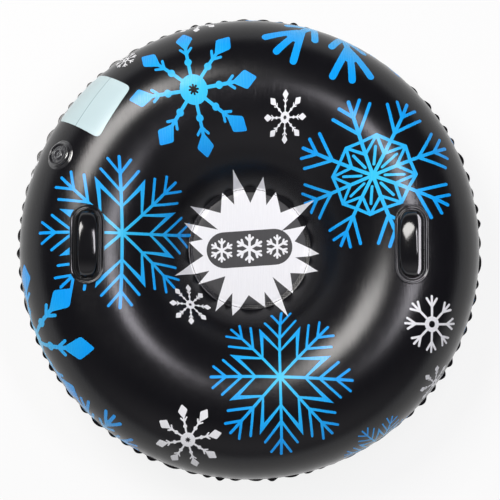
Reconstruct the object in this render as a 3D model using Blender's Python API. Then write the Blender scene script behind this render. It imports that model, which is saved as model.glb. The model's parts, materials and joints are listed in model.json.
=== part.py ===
"""Round inflatable snow tube, in metres, Z up, lying on its flattened underside at Z = 0.

Two vinyl discs are welded together round the rim and round a central ring, so the air between
them makes a tube with a flat seat floor in the middle. The wall follows the natural shape of an
inflated flat sheet: it meets the rim weld upright, and its slope at radius r has
sine = (r * r - crown * crown) / (seam * seam - crown * crown).
The upper disc carries two moulded handles, a stem valve and a blank pale panel.
"""

import math

import bmesh
import bpy
import numpy as np
from mathutils import Matrix, Vector

# Air chamber
seam_radius = 0.470
hub_radius = 0.126
ground_flat_depth = 0.001
upper_sheet = 0.0006
lower_sheet = 0.0008
touch_gap = 0.0003

# Welded rim and central weld
rim_margin = 0.0060
lobe_count = 96
lobe_reach = 0.0020
lobe_droop = 0.0016
hub_weld_width = 0.0080
hub_weld_depth = 0.00025
hub_weld_step = 0.0006

# Handles
handle_radius_share = 0.6872
handle_length = 0.160
handle_width = 0.068
handle_plate = 0.0020
handle_lip = 0.0046
handle_lip_width = 0.0042
grip_end_margin = 0.0165
grip_rise = 0.0290
grip_side_margin = 0.0175
grip_foot_margin = 0.0155
grip_thickness = 0.0075
grip_sink = 0.006
handle_prism_depth = 0.012
handle_prism_height = 0.016

# Valve, with heights along its own axis from the skin's outer surface
valve_tilt_deg = 38.0
valve_azimuth_deg = 154.5
valve_disc_radius = 0.031
valve_disc = 0.0012
collar_radius = 0.025
collar_top = 0.0060
recess_radius = 0.0210
ledge_height = 0.0010
port_radius = 0.0175
spigot_radius = 0.0212
spigot_bottom = -0.0065
skin_hole_radius = 0.0215
neck_wall = 0.0008
neck_band_top = -0.0010
neck_band_bottom = -0.0060
neck_foot_top = -0.0150
neck_foot_bottom = -0.0180
stem_radius = 0.0107
stem_bore = 0.0075
stem_bottom = -0.0220
lip_radius = 0.0195
lip_thickness = 0.0020
valve_cut_depth = 0.020

# Plug with its pull tab and strap
plug_radius = 0.00715
plug_tip_radius = 0.0054
plug_depth = 0.0048
cap_radius = 0.0120
cap_thickness = 0.0024
tab_reach = 0.0190
tab_width = 0.0100
tab_thickness = 0.0015
strap_width = 0.0070
strap_thickness = 0.0013
strap_axis_offset = 0.0172
strap_barrel_radius = 0.0010

# Check flap
flap_radius = 0.0095
flap_thickness = 0.0010
flap_axis_offset = 0.0105
flap_tongue_width = 0.0060

# Blank panel
panel_tilt_deg = 45.0
panel_azimuth_deg = 137.4
panel_turn_deg = 11.0
panel_length = 0.128
panel_width = 0.123
panel_corner = 0.012
panel_sheet = 0.00035
panel_prism_depth = 0.034
panel_prism_height = 0.010

# Fineness of the faceted solids
wall_segments = 72
points_per_lobe = 4
outer_wall_steps = 6
inner_wall_steps = 4
curve_steps = 400
solver_rounds = 60
valve_segments = 36
small_segments = 28
corner_steps = 10
arch_steps = 14
section_points = 14
arch_power = 2.6
section_power = 2.8
foot_flare_power = 12
sharp_angle_deg = 35

handle_radius = seam_radius * handle_radius_share
grip_span = handle_length - 2 * grip_end_margin
grip_width = handle_width - 2 * grip_side_margin
grip_foot_width = handle_width - 2 * grip_foot_margin
lobe_points = lobe_count * points_per_lobe
full_turn = 2 * math.pi
quarter_turn = math.pi / 2


def half_heights(crown):
    """Heights that the wall climbs outside and inside the crown circle, and the hub's slope."""
    bend = 1 / (seam_radius ** 2 - crown ** 2)
    outer_slopes = np.linspace(0, quarter_turn, curve_steps)
    outer_radii = np.sqrt(crown ** 2 + np.sin(outer_slopes) / bend)
    outer = np.trapz(np.sin(outer_slopes) / (2 * bend * outer_radii), outer_slopes)
    hub_slope = math.asin(min(1, bend * (crown ** 2 - hub_radius ** 2)))
    inner_slopes = np.linspace(0, hub_slope, curve_steps)
    inner_radii = np.sqrt(crown ** 2 - np.sin(inner_slopes) / bend)
    inner = np.trapz(np.sin(inner_slopes) / (2 * bend * inner_radii), inner_slopes)
    return outer, inner, hub_slope


def solve_crown():
    """The crown circle's radius, at which both sides of the wall climb equally."""
    low = seam_radius / 2
    high = seam_radius
    for _ in range(solver_rounds):
        crown = (low + high) / 2
        outer, inner, _ = half_heights(crown)
        if inner > outer:
            high = crown
        else:
            low = crown
    return crown


crown_radius = solve_crown()
wall_bend = 1 / (seam_radius ** 2 - crown_radius ** 2)
chamber_rise, _, hub_slope_angle = half_heights(crown_radius)
weld_height = touch_gap / 2 + chamber_rise + lower_sheet - ground_flat_depth


def wall_radius(slope):
    """Radius where the wall slopes by the angle given, positive on the rim's side."""
    return math.sqrt(crown_radius ** 2 + math.sin(slope) / wall_bend)


def wall_rise(slope):
    """Height of the natural wall over the weld plane where it slopes by the angle given."""
    steps = np.linspace(0, slope, curve_steps)
    radii = np.sqrt(crown_radius ** 2 + np.sin(steps) / wall_bend)
    return chamber_rise - np.trapz(np.sin(steps) / (2 * wall_bend * radii), steps)


def wall_slope(radius):
    """Slope of the wall at a radius, positive on the rim's side."""
    return math.asin(wall_bend * (radius ** 2 - crown_radius ** 2))


def flat_slopes(depth):
    """The two slopes at which the wall has dropped by a depth below its crown."""
    found = []
    for limit in (-hub_slope_angle, quarter_turn):
        near = 0
        far = limit
        for _ in range(solver_rounds):
            middle = (near + far) / 2
            if chamber_rise - wall_rise(middle) > depth:
                far = middle
            else:
                near = middle
        found.append(middle)
    return found


def wall_points(flat_depth=0):
    """Points (r, z) of the wall's inside from the hub to the seam, its top cut flat if asked."""
    slopes = [-hub_slope_angle * (1 - i / inner_wall_steps) for i in range(inner_wall_steps)]
    slopes += [quarter_turn * i / outer_wall_steps for i in range(outer_wall_steps + 1)]
    if flat_depth > 0:
        inner_edge, outer_edge = flat_slopes(flat_depth)
        slopes = [s for s in slopes if not inner_edge <= s <= outer_edge]
        slopes = sorted(slopes + [inner_edge, outer_edge])
    points = [Vector((wall_radius(s), wall_rise(s))) for s in slopes]
    points[0].y = 0
    points[-1].y = 0
    return [p + Vector((0, touch_gap / 2)) for p in points]


def offset_wall(points, distance):
    """The wall moved outwards by a distance, its end points kept level with the offset welds."""
    level = touch_gap / 2 + distance
    rise = points[1] - points[0]
    first = points[0].x - distance * math.tan(math.atan2(rise.y, rise.x) / 2)
    moved = [Vector((first, level))]
    for before, here, after in zip(points, points[1:], points[2:]):
        one = (here - before).normalized()
        two = (after - here).normalized()
        normal = Vector((-one.y - two.y, one.x + two.x)).normalized()
        moved.append(here + normal * distance / normal.dot(Vector((-one.y, one.x))))
    fall = points[-1] - points[-2]
    side = distance / math.sin(-math.atan2(fall.y, fall.x))
    lean = (level - points[-1].y) * fall.x / fall.y
    moved.append(Vector((points[-1].x + side + lean, level)))
    return moved


def make_material(name, color, roughness, transmission=0):
    """A plain material for one sub-part."""
    material = bpy.data.materials.new(name)
    material.use_nodes = True
    shader = material.node_tree.nodes["Principled BSDF"]
    shader.inputs["Base Color"].default_value = (*color, 1)
    shader.inputs["Roughness"].default_value = roughness
    shader.inputs["Transmission Weight"].default_value = transmission
    return material


def make_object(name, vertices, faces, material=None):
    """One mesh object with its faces turned outwards."""
    mesh = bpy.data.meshes.new(name)
    mesh.from_pydata([tuple(v) for v in vertices], [], faces)
    work = bmesh.new()
    work.from_mesh(mesh)
    bmesh.ops.recalc_face_normals(work, faces=work.faces)
    work.to_mesh(mesh)
    work.free()
    obj = bpy.data.objects.new(name, mesh)
    bpy.context.scene.collection.objects.link(obj)
    if material:
        mesh.materials.append(material)
    return obj


def combine(obj, other, operation):
    """Bakes an exact Boolean of two objects into the first one and removes the second."""
    modifier = obj.modifiers.new(operation.lower(), "BOOLEAN")
    modifier.operation = operation
    modifier.solver = "EXACT"
    modifier.object = other
    bpy.context.view_layer.update()
    result = obj.evaluated_get(bpy.context.evaluated_depsgraph_get())
    mesh = bpy.data.meshes.new_from_object(result)
    obj.modifiers.clear()
    obj.data = mesh
    bpy.data.objects.remove(other, do_unlink=True)
    return obj


def shade_round(obj):
    """Smooth shading with the sharper edges kept."""
    obj.data.shade_smooth()
    obj.data.set_sharp_from_angle(angle=math.radians(sharp_angle_deg))


def circle_points(radius, height, count):
    """A level ring of points."""
    turns = [full_turn * i / count for i in range(count)]
    return [(radius * math.cos(a), radius * math.sin(a), height) for a in turns]


def ring_strip(first, second, count):
    """Faces between two rings with the same number of points."""
    return [
        (first + i, first + (i + 1) % count, second + (i + 1) % count, second + i)
        for i in range(count)
    ]


def zip_strip(first, first_count, second, second_count):
    """Triangles between two rings with different numbers of points."""
    faces = []
    i = 0
    j = 0
    while i < first_count or j < second_count:
        if j == second_count or (i < first_count and (i + 1) / first_count <= (j + 1) / second_count):
            faces.append((first + i % first_count, first + (i + 1) % first_count, second + j % second_count))
            i += 1
        else:
            faces.append((second + j % second_count, second + (j + 1) % second_count, first + i % first_count))
            j += 1
    return faces


def turned(name, profile, segments, material=None):
    """A solid turned about Z from a closed outline of (r, z) points; points at r = 0 are poles."""
    vertices = []
    starts = []
    for radius, height in profile:
        starts.append((len(vertices), radius > 0))
        if radius > 0:
            vertices += circle_points(radius, height, segments)
        else:
            vertices.append((0, 0, height))
    faces = []
    for (first, first_round), (second, second_round) in zip(starts, starts[1:] + starts[:1]):
        if first_round and second_round:
            faces += ring_strip(first, second, segments)
        elif first_round:
            faces += [(first + i, first + (i + 1) % segments, second) for i in range(segments)]
        elif second_round:
            faces += [(second + i, second + (i + 1) % segments, first) for i in range(segments)]
    return make_object(name, vertices, faces, material)


def cylinder(name, radius, bottom, top, segments, material=None):
    """An upright cylinder about Z."""
    outline = [(0, bottom), (radius, bottom), (radius, top), (0, top)]
    return turned(name, outline, segments, material)


def prism(name, outline, bottom, top, material=None):
    """A straight prism over a closed outline of (x, y) points."""
    count = len(outline)
    vertices = [(x, y, bottom) for x, y in outline] + [(x, y, top) for x, y in outline]
    faces = ring_strip(0, count, count)
    faces += [tuple(range(count)), tuple(range(count, 2 * count))]
    return make_object(name, vertices, faces, material)


def rounded_outline(length_x, length_y, corner):
    """A rectangle with rounded corners, centred on the origin."""
    points = []
    for quarter, (side_x, side_y) in enumerate(((1, 1), (-1, 1), (-1, -1), (1, -1))):
        centre_x = side_x * (length_x / 2 - corner)
        centre_y = side_y * (length_y / 2 - corner)
        for step in range(corner_steps + 1):
            turn = quarter_turn * (quarter + step / corner_steps)
            points.append((centre_x + corner * math.cos(turn), centre_y + corner * math.sin(turn)))
    kept = [p for p, q in zip(points, points[-1:] + points[:-1]) if math.dist(p, q) > touch_gap]
    return kept


def chamber_body(offset):
    """The air chamber's upper half as a solid, grown outwards by an offset from the upper skin."""
    wall = offset_wall(wall_points(), upper_sheet + offset)
    profile = [(p.x, p.y) for p in wall]
    profile += [(wall[-1].x, 0), (wall[0].x, 0)]
    body = turned("chamber_body", profile, wall_segments)
    body.location.z = weld_height
    return body


def surface_frame(slope, azimuth):
    """World matrix on the upper skin: Z along its normal, X down the slope away from the centre."""
    outward = Vector((math.cos(azimuth), math.sin(azimuth), 0))
    normal = outward * math.sin(slope) + Vector((0, 0, math.cos(slope)))
    down = outward * math.cos(slope) - Vector((0, 0, math.sin(slope)))
    side = normal.cross(down)
    place = outward * wall_radius(slope) + normal * upper_sheet
    place.z += weld_height + touch_gap / 2 + wall_rise(slope)
    matrix = Matrix((down, side, normal)).transposed().to_4x4()
    matrix.translation = place
    return matrix


def build_skin(name, sheet, flat_depth, upper, material):
    """One of the two welded discs: seat floor, pressed weld, tube wall and puckered rim."""
    inside = wall_points(flat_depth)
    outside = offset_wall(inside, sheet)
    top = outside[0].y
    pressed = top - hub_weld_depth
    outer_edge = outside[0].x
    inner_edge = hub_radius - hub_weld_width
    outside = [
        Vector((inner_edge, top)),
        Vector((inner_edge + hub_weld_step, pressed)),
        Vector((outer_edge - hub_weld_step, pressed)),
    ] + outside
    direction = 1 if upper else -1
    vertices = [(0, 0, direction * top), (0, 0, direction * inside[0].y)]
    faces = []
    edges = []
    for centre, path in ((0, outside), (1, inside)):
        starts = []
        for point in path:
            starts.append(len(vertices))
            vertices += circle_points(point.x, direction * point.y, wall_segments)
        faces += [
            (starts[0] + i, starts[0] + (i + 1) % wall_segments, centre) for i in range(wall_segments)
        ]
        for first, second in zip(starts, starts[1:]):
            faces += ring_strip(first, second, wall_segments)
        level = path[-1].y
        rim = len(vertices)
        for i in range(lobe_points):
            turn = full_turn * i / lobe_points
            wave = math.cos(lobe_count * turn)
            radius = seam_radius + rim_margin + lobe_reach * wave
            height = direction * level - lobe_droop * wave
            vertices.append((radius * math.cos(turn), radius * math.sin(turn), height))
        faces += zip_strip(starts[-1], wall_segments, rim, lobe_points)
        edges.append(rim)
    faces += ring_strip(edges[0], edges[1], lobe_points)
    skin = make_object(name, vertices, faces, material)
    skin.location.z = weld_height
    return skin


def conform(obj, inner_offset, outer_offset):
    """Keeps only what lies between two offsets of the upper skin's surface."""
    combine(obj, chamber_body(outer_offset), "INTERSECT")
    combine(obj, chamber_body(inner_offset), "DIFFERENCE")
    return obj


def move_to(obj, matrix):
    """Bakes a world matrix into a mesh made about the origin."""
    obj.data.transform(matrix)
    return obj


def set_origin(obj, point):
    """Puts an object's origin on a world point without moving its mesh."""
    obj.data.transform(Matrix.Translation(-point))
    obj.location = point


def build_handle_base(name, azimuth, material):
    """The welded stadium plate of a handle, with a raised lip round its edge."""
    frame = surface_frame(wall_slope(handle_radius), azimuth)
    outline = rounded_outline(handle_width, handle_length, handle_width / 2)
    inner_width = handle_width - 2 * handle_lip_width
    inner_length = handle_length - 2 * handle_lip_width
    inner_outline = rounded_outline(inner_width, inner_length, inner_width / 2)
    plate = prism(name, outline, -handle_prism_depth, handle_prism_height, material)
    conform(move_to(plate, frame), touch_gap, touch_gap + handle_lip)
    pocket = prism("pocket", inner_outline, -handle_prism_depth, handle_prism_height)
    combine(move_to(pocket, frame), chamber_body(touch_gap + handle_plate), "DIFFERENCE")
    combine(plate, pocket, "DIFFERENCE")
    return plate


def build_handle_grip(name, azimuth, material):
    """The arched bar of a handle, its two feet standing on the plate."""
    frame = surface_frame(wall_slope(handle_radius), azimuth)
    rings = []
    for step in range(arch_steps + 1):
        turn = math.pi * step / arch_steps
        across = abs(math.cos(turn)) ** (2 / arch_power)
        up = math.sin(turn) ** (2 / arch_power) if 0 < step < arch_steps else 0
        place = Vector((0, math.copysign(across, math.cos(turn)) * grip_span / 2, up * grip_rise))
        width = grip_width + (grip_foot_width - grip_width) * across ** foot_flare_power
        rings.append((place, width))
    vertices = []
    for index, (place, width) in enumerate(rings):
        before = rings[max(index - 1, 0)][0]
        after = rings[min(index + 1, arch_steps)][0]
        along = (after - before).normalized()
        if index == 0:
            along = Vector((0, 0, 1))
        if index == arch_steps:
            along = Vector((0, 0, -1))
        across = Vector((1, 0, 0))
        thick = across.cross(along)
        for point in range(section_points):
            turn = full_turn * point / section_points
            one = math.copysign(abs(math.cos(turn)) ** (2 / section_power), math.cos(turn))
            two = math.copysign(abs(math.sin(turn)) ** (2 / section_power), math.sin(turn))
            vertices.append(place + across * one * width / 2 + thick * two * grip_thickness / 2)
    sink = Vector((0, 0, grip_sink))
    for point in range(section_points):
        vertices[point] = vertices[point] - sink
        vertices[point - section_points] = vertices[point - section_points] - sink
    faces = []
    for index in range(arch_steps):
        faces += ring_strip(index * section_points, (index + 1) * section_points, section_points)
    last = arch_steps * section_points
    faces += [tuple(range(section_points)), tuple(range(last, last + section_points))]
    grip = make_object(name, vertices, faces, material)
    floor = chamber_body(touch_gap + handle_plate + touch_gap)
    return combine(move_to(grip, frame), floor, "DIFFERENCE")


def build_valve_flange(frame, material):
    """The welded disc of the valve with its collar, recess and port."""
    depth = -valve_cut_depth
    disc = cylinder("valve_flange", valve_disc_radius, depth, -depth, valve_segments, material)
    conform(move_to(disc, frame), touch_gap, touch_gap + valve_disc)
    collar = cylinder("collar", collar_radius, depth, collar_top, valve_segments)
    combine(move_to(collar, frame), chamber_body(touch_gap), "DIFFERENCE")
    combine(disc, collar, "UNION")
    spigot = cylinder("spigot", spigot_radius, spigot_bottom, ledge_height, valve_segments)
    combine(disc, move_to(spigot, frame), "UNION")
    opening = turned(
        "opening",
        [
            (0, depth),
            (port_radius, depth),
            (port_radius, ledge_height),
            (recess_radius, ledge_height),
            (recess_radius, -depth),
            (0, -depth),
        ],
        valve_segments,
    )
    return combine(disc, move_to(opening, frame), "DIFFERENCE")


def build_valve_neck(frame, material):
    """The thin rolling neck between the valve's port and its stem."""
    top_outer = port_radius - touch_gap
    top_inner = top_outer - neck_wall
    foot_inner = stem_radius + touch_gap
    foot_outer = foot_inner + neck_wall
    profile = [
        (top_inner, neck_band_top),
        (top_outer, neck_band_top),
        (top_outer, neck_band_bottom),
        (foot_outer, neck_foot_top),
        (foot_outer, neck_foot_bottom),
        (foot_inner, neck_foot_bottom),
        (foot_inner, neck_foot_top),
        (top_inner, neck_band_bottom),
    ]
    return move_to(turned("valve_neck", profile, valve_segments, material), frame)


def build_valve_stem(frame, material):
    """The stem tube that is pulled out to blow through and pushed in for riding."""
    lip_bottom = ledge_height + touch_gap
    profile = [
        (stem_bore, stem_bottom),
        (stem_radius, stem_bottom),
        (stem_radius, lip_bottom),
        (lip_radius, lip_bottom),
        (lip_radius, lip_bottom + lip_thickness),
        (stem_bore, lip_bottom + lip_thickness),
    ]
    return move_to(turned("valve_stem", profile, valve_segments, material), frame)


def build_valve_plug(frame, material):
    """The plug with its cap, pull tab and strap, hinged at the strap's outer end."""
    lip_top = ledge_height + touch_gap + lip_thickness
    cap_bottom = lip_top + touch_gap
    cap_top = cap_bottom + cap_thickness
    profile = [
        (0, cap_top),
        (0, cap_bottom - plug_depth),
        (plug_tip_radius, cap_bottom - plug_depth),
        (plug_radius, cap_bottom),
        (cap_radius, cap_bottom),
        (cap_radius, cap_top),
    ]
    plug = turned("valve_plug", profile, small_segments, material)
    tab_outline = rounded_outline(tab_reach + plug_radius, tab_width, tab_width / 2)
    shift = (tab_reach - plug_radius) / 2
    tab_outline = [(x - shift, y) for x, y in tab_outline]
    tab = prism("tab", tab_outline, cap_bottom + touch_gap, cap_bottom + touch_gap + tab_thickness)
    combine(plug, tab, "UNION")
    half_width = strap_width / 2
    strap_outline = [
        (plug_radius, -half_width),
        (strap_axis_offset, -half_width),
        (strap_axis_offset, half_width),
        (plug_radius, half_width),
    ]
    barrel_middle = cap_bottom + strap_barrel_radius
    strap_bottom = barrel_middle - strap_thickness / 2
    strap = prism("strap", strap_outline, strap_bottom, strap_bottom + strap_thickness)
    combine(plug, strap, "UNION")
    barrel = cylinder("barrel", strap_barrel_radius, -half_width, half_width, small_segments)
    turn = Matrix.Rotation(quarter_turn, 4, "X")
    move_to(barrel, Matrix.Translation((strap_axis_offset, 0, barrel_middle)) @ turn)
    combine(plug, barrel, "UNION")
    move_to(plug, frame)
    set_origin(plug, frame @ Vector((strap_axis_offset, 0, barrel_middle)))
    return plug


def build_check_flap(frame, material):
    """The flap that closes the stem's inner end, hinged at its outer side."""
    top = stem_bottom - touch_gap
    bottom = top - flap_thickness
    flap = cylinder("check_flap", flap_radius, bottom, top, small_segments, material)
    half_width = flap_tongue_width / 2
    tongue_outline = [
        (0, -half_width),
        (flap_axis_offset, -half_width),
        (flap_axis_offset, half_width),
        (0, half_width),
    ]
    tongue = prism("tongue", tongue_outline, bottom, top)
    combine(flap, tongue, "UNION")
    move_to(flap, frame)
    set_origin(flap, frame @ Vector((flap_axis_offset, 0, (top + bottom) / 2)))
    return flap


def build_panel(material):
    """The blank pale panel that follows the tube's wall beside the valve."""
    frame = surface_frame(math.radians(panel_tilt_deg), math.radians(panel_azimuth_deg))
    frame = frame @ Matrix.Rotation(math.radians(panel_turn_deg), 4, "Z")
    outline = rounded_outline(panel_length, panel_width, panel_corner)
    panel = prism("info_panel", outline, -panel_prism_depth, panel_prism_height, material)
    return conform(move_to(panel, frame), touch_gap, touch_gap + panel_sheet)


def build():
    """Builds every sub-part."""
    for old in list(bpy.data.objects):
        bpy.data.objects.remove(old, do_unlink=True)
    frame = surface_frame(math.radians(valve_tilt_deg), math.radians(valve_azimuth_deg))

    upper_vinyl = make_material("upper_vinyl", (0.012, 0.012, 0.014), 0.42)
    upper = build_skin("upper_skin", upper_sheet, 0, True, upper_vinyl)
    hole = cylinder("hole", skin_hole_radius, -valve_cut_depth, valve_cut_depth, valve_segments)
    combine(upper, move_to(hole, frame), "DIFFERENCE")

    lower_vinyl = make_material("lower_vinyl", (0.010, 0.010, 0.011), 0.5)
    lower = build_skin("lower_skin", lower_sheet, ground_flat_depth, False, lower_vinyl)
    rounded = [upper, lower]

    for side, azimuth in (("right", 0), ("left", math.pi)):
        base_vinyl = make_material(side + "_base_vinyl", (0.008, 0.008, 0.009), 0.16)
        rounded.append(build_handle_base(side + "_handle_base", azimuth, base_vinyl))
        grip_vinyl = make_material(side + "_grip_vinyl", (0.008, 0.008, 0.009), 0.14)
        rounded.append(build_handle_grip(side + "_handle_grip", azimuth, grip_vinyl))

    flange_vinyl = make_material("valve_flange_vinyl", (0.10, 0.10, 0.11), 0.1, 0.5)
    neck_vinyl = make_material("valve_neck_vinyl", (0.12, 0.12, 0.13), 0.2, 0.5)
    stem_vinyl = make_material("valve_stem_vinyl", (0.12, 0.12, 0.13), 0.12, 0.5)
    plug_vinyl = make_material("valve_plug_vinyl", (0.14, 0.14, 0.15), 0.1, 0.5)
    flap_vinyl = make_material("check_flap_vinyl", (0.14, 0.14, 0.15), 0.2, 0.5)
    rounded.append(build_valve_flange(frame, flange_vinyl))
    rounded.append(build_valve_neck(frame, neck_vinyl))
    rounded.append(build_valve_stem(frame, stem_vinyl))
    rounded.append(build_valve_plug(frame, plug_vinyl))
    rounded.append(build_check_flap(frame, flap_vinyl))

    panel_vinyl = make_material("panel_vinyl", (0.72, 0.86, 0.90), 0.3)
    rounded.append(build_panel(panel_vinyl))
    for obj in rounded:
        shade_round(obj)


build()
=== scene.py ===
"""Inflatable snow tube: skins, prints, handles, valve and stage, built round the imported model.

The file is laid out as a Blender add-on and is run as a script. Everything is in metres, with +Z up
and the tube lying on the ground. Prints are drawn on the flat sheet, where u runs to the right and
v away from the viewer, and are then carried over the inflated wall by geometry nodes.
"""

import json
import math

import bmesh
import bpy
import numpy as np
from bpy.props import FloatProperty, FloatVectorProperty, IntProperty, PointerProperty
from mathutils import Matrix, Vector
from mathutils.geometry import delaunay_2d_cdt


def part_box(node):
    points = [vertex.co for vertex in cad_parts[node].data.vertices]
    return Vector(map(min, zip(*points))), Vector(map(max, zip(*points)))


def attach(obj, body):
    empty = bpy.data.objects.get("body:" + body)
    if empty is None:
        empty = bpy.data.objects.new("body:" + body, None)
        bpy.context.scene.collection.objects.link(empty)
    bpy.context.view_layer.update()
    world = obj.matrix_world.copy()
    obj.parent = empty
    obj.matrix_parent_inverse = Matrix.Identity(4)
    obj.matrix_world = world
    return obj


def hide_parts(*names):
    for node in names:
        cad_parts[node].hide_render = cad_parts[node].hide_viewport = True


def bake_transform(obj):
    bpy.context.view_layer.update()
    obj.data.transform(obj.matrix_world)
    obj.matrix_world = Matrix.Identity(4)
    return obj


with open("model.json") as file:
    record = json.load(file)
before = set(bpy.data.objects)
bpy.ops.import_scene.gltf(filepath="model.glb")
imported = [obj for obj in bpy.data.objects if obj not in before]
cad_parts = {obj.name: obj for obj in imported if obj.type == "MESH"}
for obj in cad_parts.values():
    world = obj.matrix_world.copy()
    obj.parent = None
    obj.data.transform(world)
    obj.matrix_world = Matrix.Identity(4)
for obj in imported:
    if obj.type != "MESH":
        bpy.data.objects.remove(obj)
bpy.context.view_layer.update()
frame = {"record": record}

bl_info = {
    "name": "Snow Tube Parts",
    "version": (1, 0, 0),
    "blender": (4, 5, 0),
    "location": "View3D > Sidebar > Snow Tube",
    "description": "Builds the vinyl skins, prints, handles, valve and stage of an inflatable snow tube",
    "category": "Add Mesh",
}

SKIN_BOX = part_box("upper_skin")
GRIP_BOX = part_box("right_handle_grip")
FULL_TURN = 2 * math.pi
QUARTER_TURN = math.pi / 2
MM = 0.001
POLE = (0.0, 0.0)
RIM_REACH = 8 * MM

deg = math.radians


def metres(name, description, default):
    """A length that a user may change."""
    return FloatProperty(name=name, description=description, default=default, unit="LENGTH")


def color(name, description, default):
    """A colour that a user may change."""
    return FloatVectorProperty(name=name, description=description, default=default, subtype="COLOR")


class TubeSizes(bpy.types.PropertyGroup):
    """Sizes of the two welded vinyl discs."""

    seam_radius: metres(
        "Seam radius", "Radius of the rim weld on the inflated tube", SKIN_BOX[1][0] - RIM_REACH
    )
    hub_radius: metres("Hub radius", "Outer radius of the central weld", 0.126)
    upper_sheet: metres("Upper sheet", "Thickness of the printed upper vinyl", 0.0006)
    lower_sheet: metres("Lower sheet", "Thickness of the lower vinyl", 0.0008)
    ground_flat: metres("Ground flat", "How far the underside flattens", 0.001)
    lobe_count: IntProperty(name="Lobes", description="Puckers round the welded rim", default=84)
    lobe_points: IntProperty(name="Points per lobe", description="Fineness round the rim", default=12)
    crease_depth: metres("Crease depth", "Depth of the folds beside the rim weld", 0.0022)
    crease_length: metres("Crease length", "How far the folds run up the wall", 0.020)
    wrinkle_depth: metres("Wrinkle depth", "Height of the long soft wrinkles", 0.0011)
    wrinkle_length: metres("Wrinkle length", "How far the soft wrinkles run up the wall", 0.055)


class TubeColors(bpy.types.PropertyGroup):
    """Colours of the vinyl and of the inks."""

    vinyl: color("Vinyl", "Black sheet vinyl", (0.0048, 0.0047, 0.0060))
    floor_vinyl: color("Seat floor", "The duller vinyl of the flat floor", (0.034, 0.034, 0.036))
    azure: color("Azure ink", "Deep end of the blue print", (0.003, 0.33, 0.88))
    cyan: color("Cyan ink", "Light end of the blue print", (0.040, 0.56, 0.86))
    white: color("White ink", "White print and burst", (0.81, 0.82, 0.84))
    panel: color("Panel film", "Pale film of the blank panel", (0.46, 0.58, 0.60))


class SnowTubeSettings(bpy.types.PropertyGroup):
    """Everything a user would change."""

    sizes: PointerProperty(type=TubeSizes)
    colors: PointerProperty(type=TubeColors)


def sizes():
    """The tube's sizes in this scene."""
    return bpy.context.scene.snow_tube.sizes


def colors():
    """The tube's colours in this scene."""
    return bpy.context.scene.snow_tube.colors


# Node trees written as expressions


def arithmetic(operation, swapped=False):
    """A method that sends a field and another value through a Math node."""

    def method(field, other):
        pair = (other, field) if swapped else (field, other)
        return field.graph.math(operation, *pair)

    return method


class Field:
    """One output socket. Sums written with it add Math nodes."""

    __add__ = arithmetic("ADD")
    __radd__ = arithmetic("ADD", swapped=True)
    __sub__ = arithmetic("SUBTRACT")
    __rsub__ = arithmetic("SUBTRACT", swapped=True)
    __mul__ = arithmetic("MULTIPLY")
    __rmul__ = arithmetic("MULTIPLY", swapped=True)
    __truediv__ = arithmetic("DIVIDE")
    __pow__ = arithmetic("POWER")

    def __init__(self, graph, socket):
        self.graph = graph
        self.socket = socket

    def __neg__(self):
        return self * -1

    def call(self, operation, *others):
        """Any other Math operation."""
        return self.graph.math(operation, self, *others)

    def between(self, low, high):
        """0 below the first value, 1 above the second, and a smooth ramp between them."""
        settings = {"interpolation_type": "SMOOTHSTEP"}
        return self.graph.node("ShaderNodeMapRange", settings, {0: self, 1: low, 2: high})[0]


class Node:
    """A made node, whose outputs are read by name or number."""

    def __init__(self, graph, node):
        self.graph = graph
        self.node = node

    def __getitem__(self, key):
        return Field(self.graph, self.node.outputs[key])


class Graph:
    """Builds one node tree."""

    def __init__(self, tree):
        self.tree = tree

    def node(self, kind, settings=None, values=None):
        """Adds a node, makes its settings, then fills its sockets with values or links."""
        made = self.tree.nodes.new(kind)
        for name, value in (settings or {}).items():
            setattr(made, name, value)
        for key, value in (values or {}).items():
            self.put(made.inputs[key], value)
        return Node(self, made)

    def put(self, socket, value):
        """Gives one socket a link or a plain value."""
        if isinstance(value, Field):
            self.tree.links.new(value.socket, socket)
        else:
            socket.default_value = value

    def math(self, operation, *values):
        """A Math node on plain values."""
        return self.node("ShaderNodeMath", {"operation": operation}, dict(enumerate(values)))[0]

    def vector(self, operation, *values):
        """A Vector Math node."""
        return self.node("ShaderNodeVectorMath", {"operation": operation}, dict(enumerate(values)))[0]

    def join(self, x, y, z):
        """A vector from three values."""
        return self.node("ShaderNodeCombineXYZ", None, {0: x, 1: y, 2: z})[0]

    def polar(self, length, angle, height=0.0):
        """A vector from a distance, an angle about Z and a height."""
        return self.join(length * angle.call("COSINE"), length * angle.call("SINE"), height)

    def split(self, vector):
        """The three values of a vector."""
        parts = self.node("ShaderNodeSeparateXYZ", None, {0: vector})
        return parts[0], parts[1], parts[2]

    def mix(self, factor, first, second):
        """One colour fading into another."""
        values = {0: factor, 6: first, 7: second}
        return self.node("ShaderNodeMix", {"data_type": "RGBA"}, values)[2]

    def noise(self, vector, scale, detail=2.0, roughness=0.5):
        """A noise value from 0 to 1."""
        values = {"Vector": vector, "Scale": scale, "Detail": detail, "Roughness": roughness}
        return self.node("ShaderNodeTexNoise", None, values)[0]

    def read(self, kind):
        """What an input node of a geometry tree gives, such as Index or Position."""
        return self.node("GeometryNodeInput" + kind)[0]

    def shape(self, kind, geometry, values=None, settings=None):
        """What a geometry node makes of some geometry."""
        return self.node("GeometryNode" + kind, settings, {0: geometry, **(values or {})})[0]

    def store(self, geometry, name, value, kind="FLOAT"):
        """Keeps a value on the points under a name."""
        settings = {"data_type": kind, "domain": "POINT"}
        return self.shape("StoreNamedAttribute", geometry, {"Name": name, "Value": value}, settings)

    def stored(self, name):
        """A number that was kept on the points."""
        settings = {"data_type": "FLOAT"}
        return self.node("GeometryNodeInputNamedAttribute", settings, {"Name": name})["Attribute"]


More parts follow.
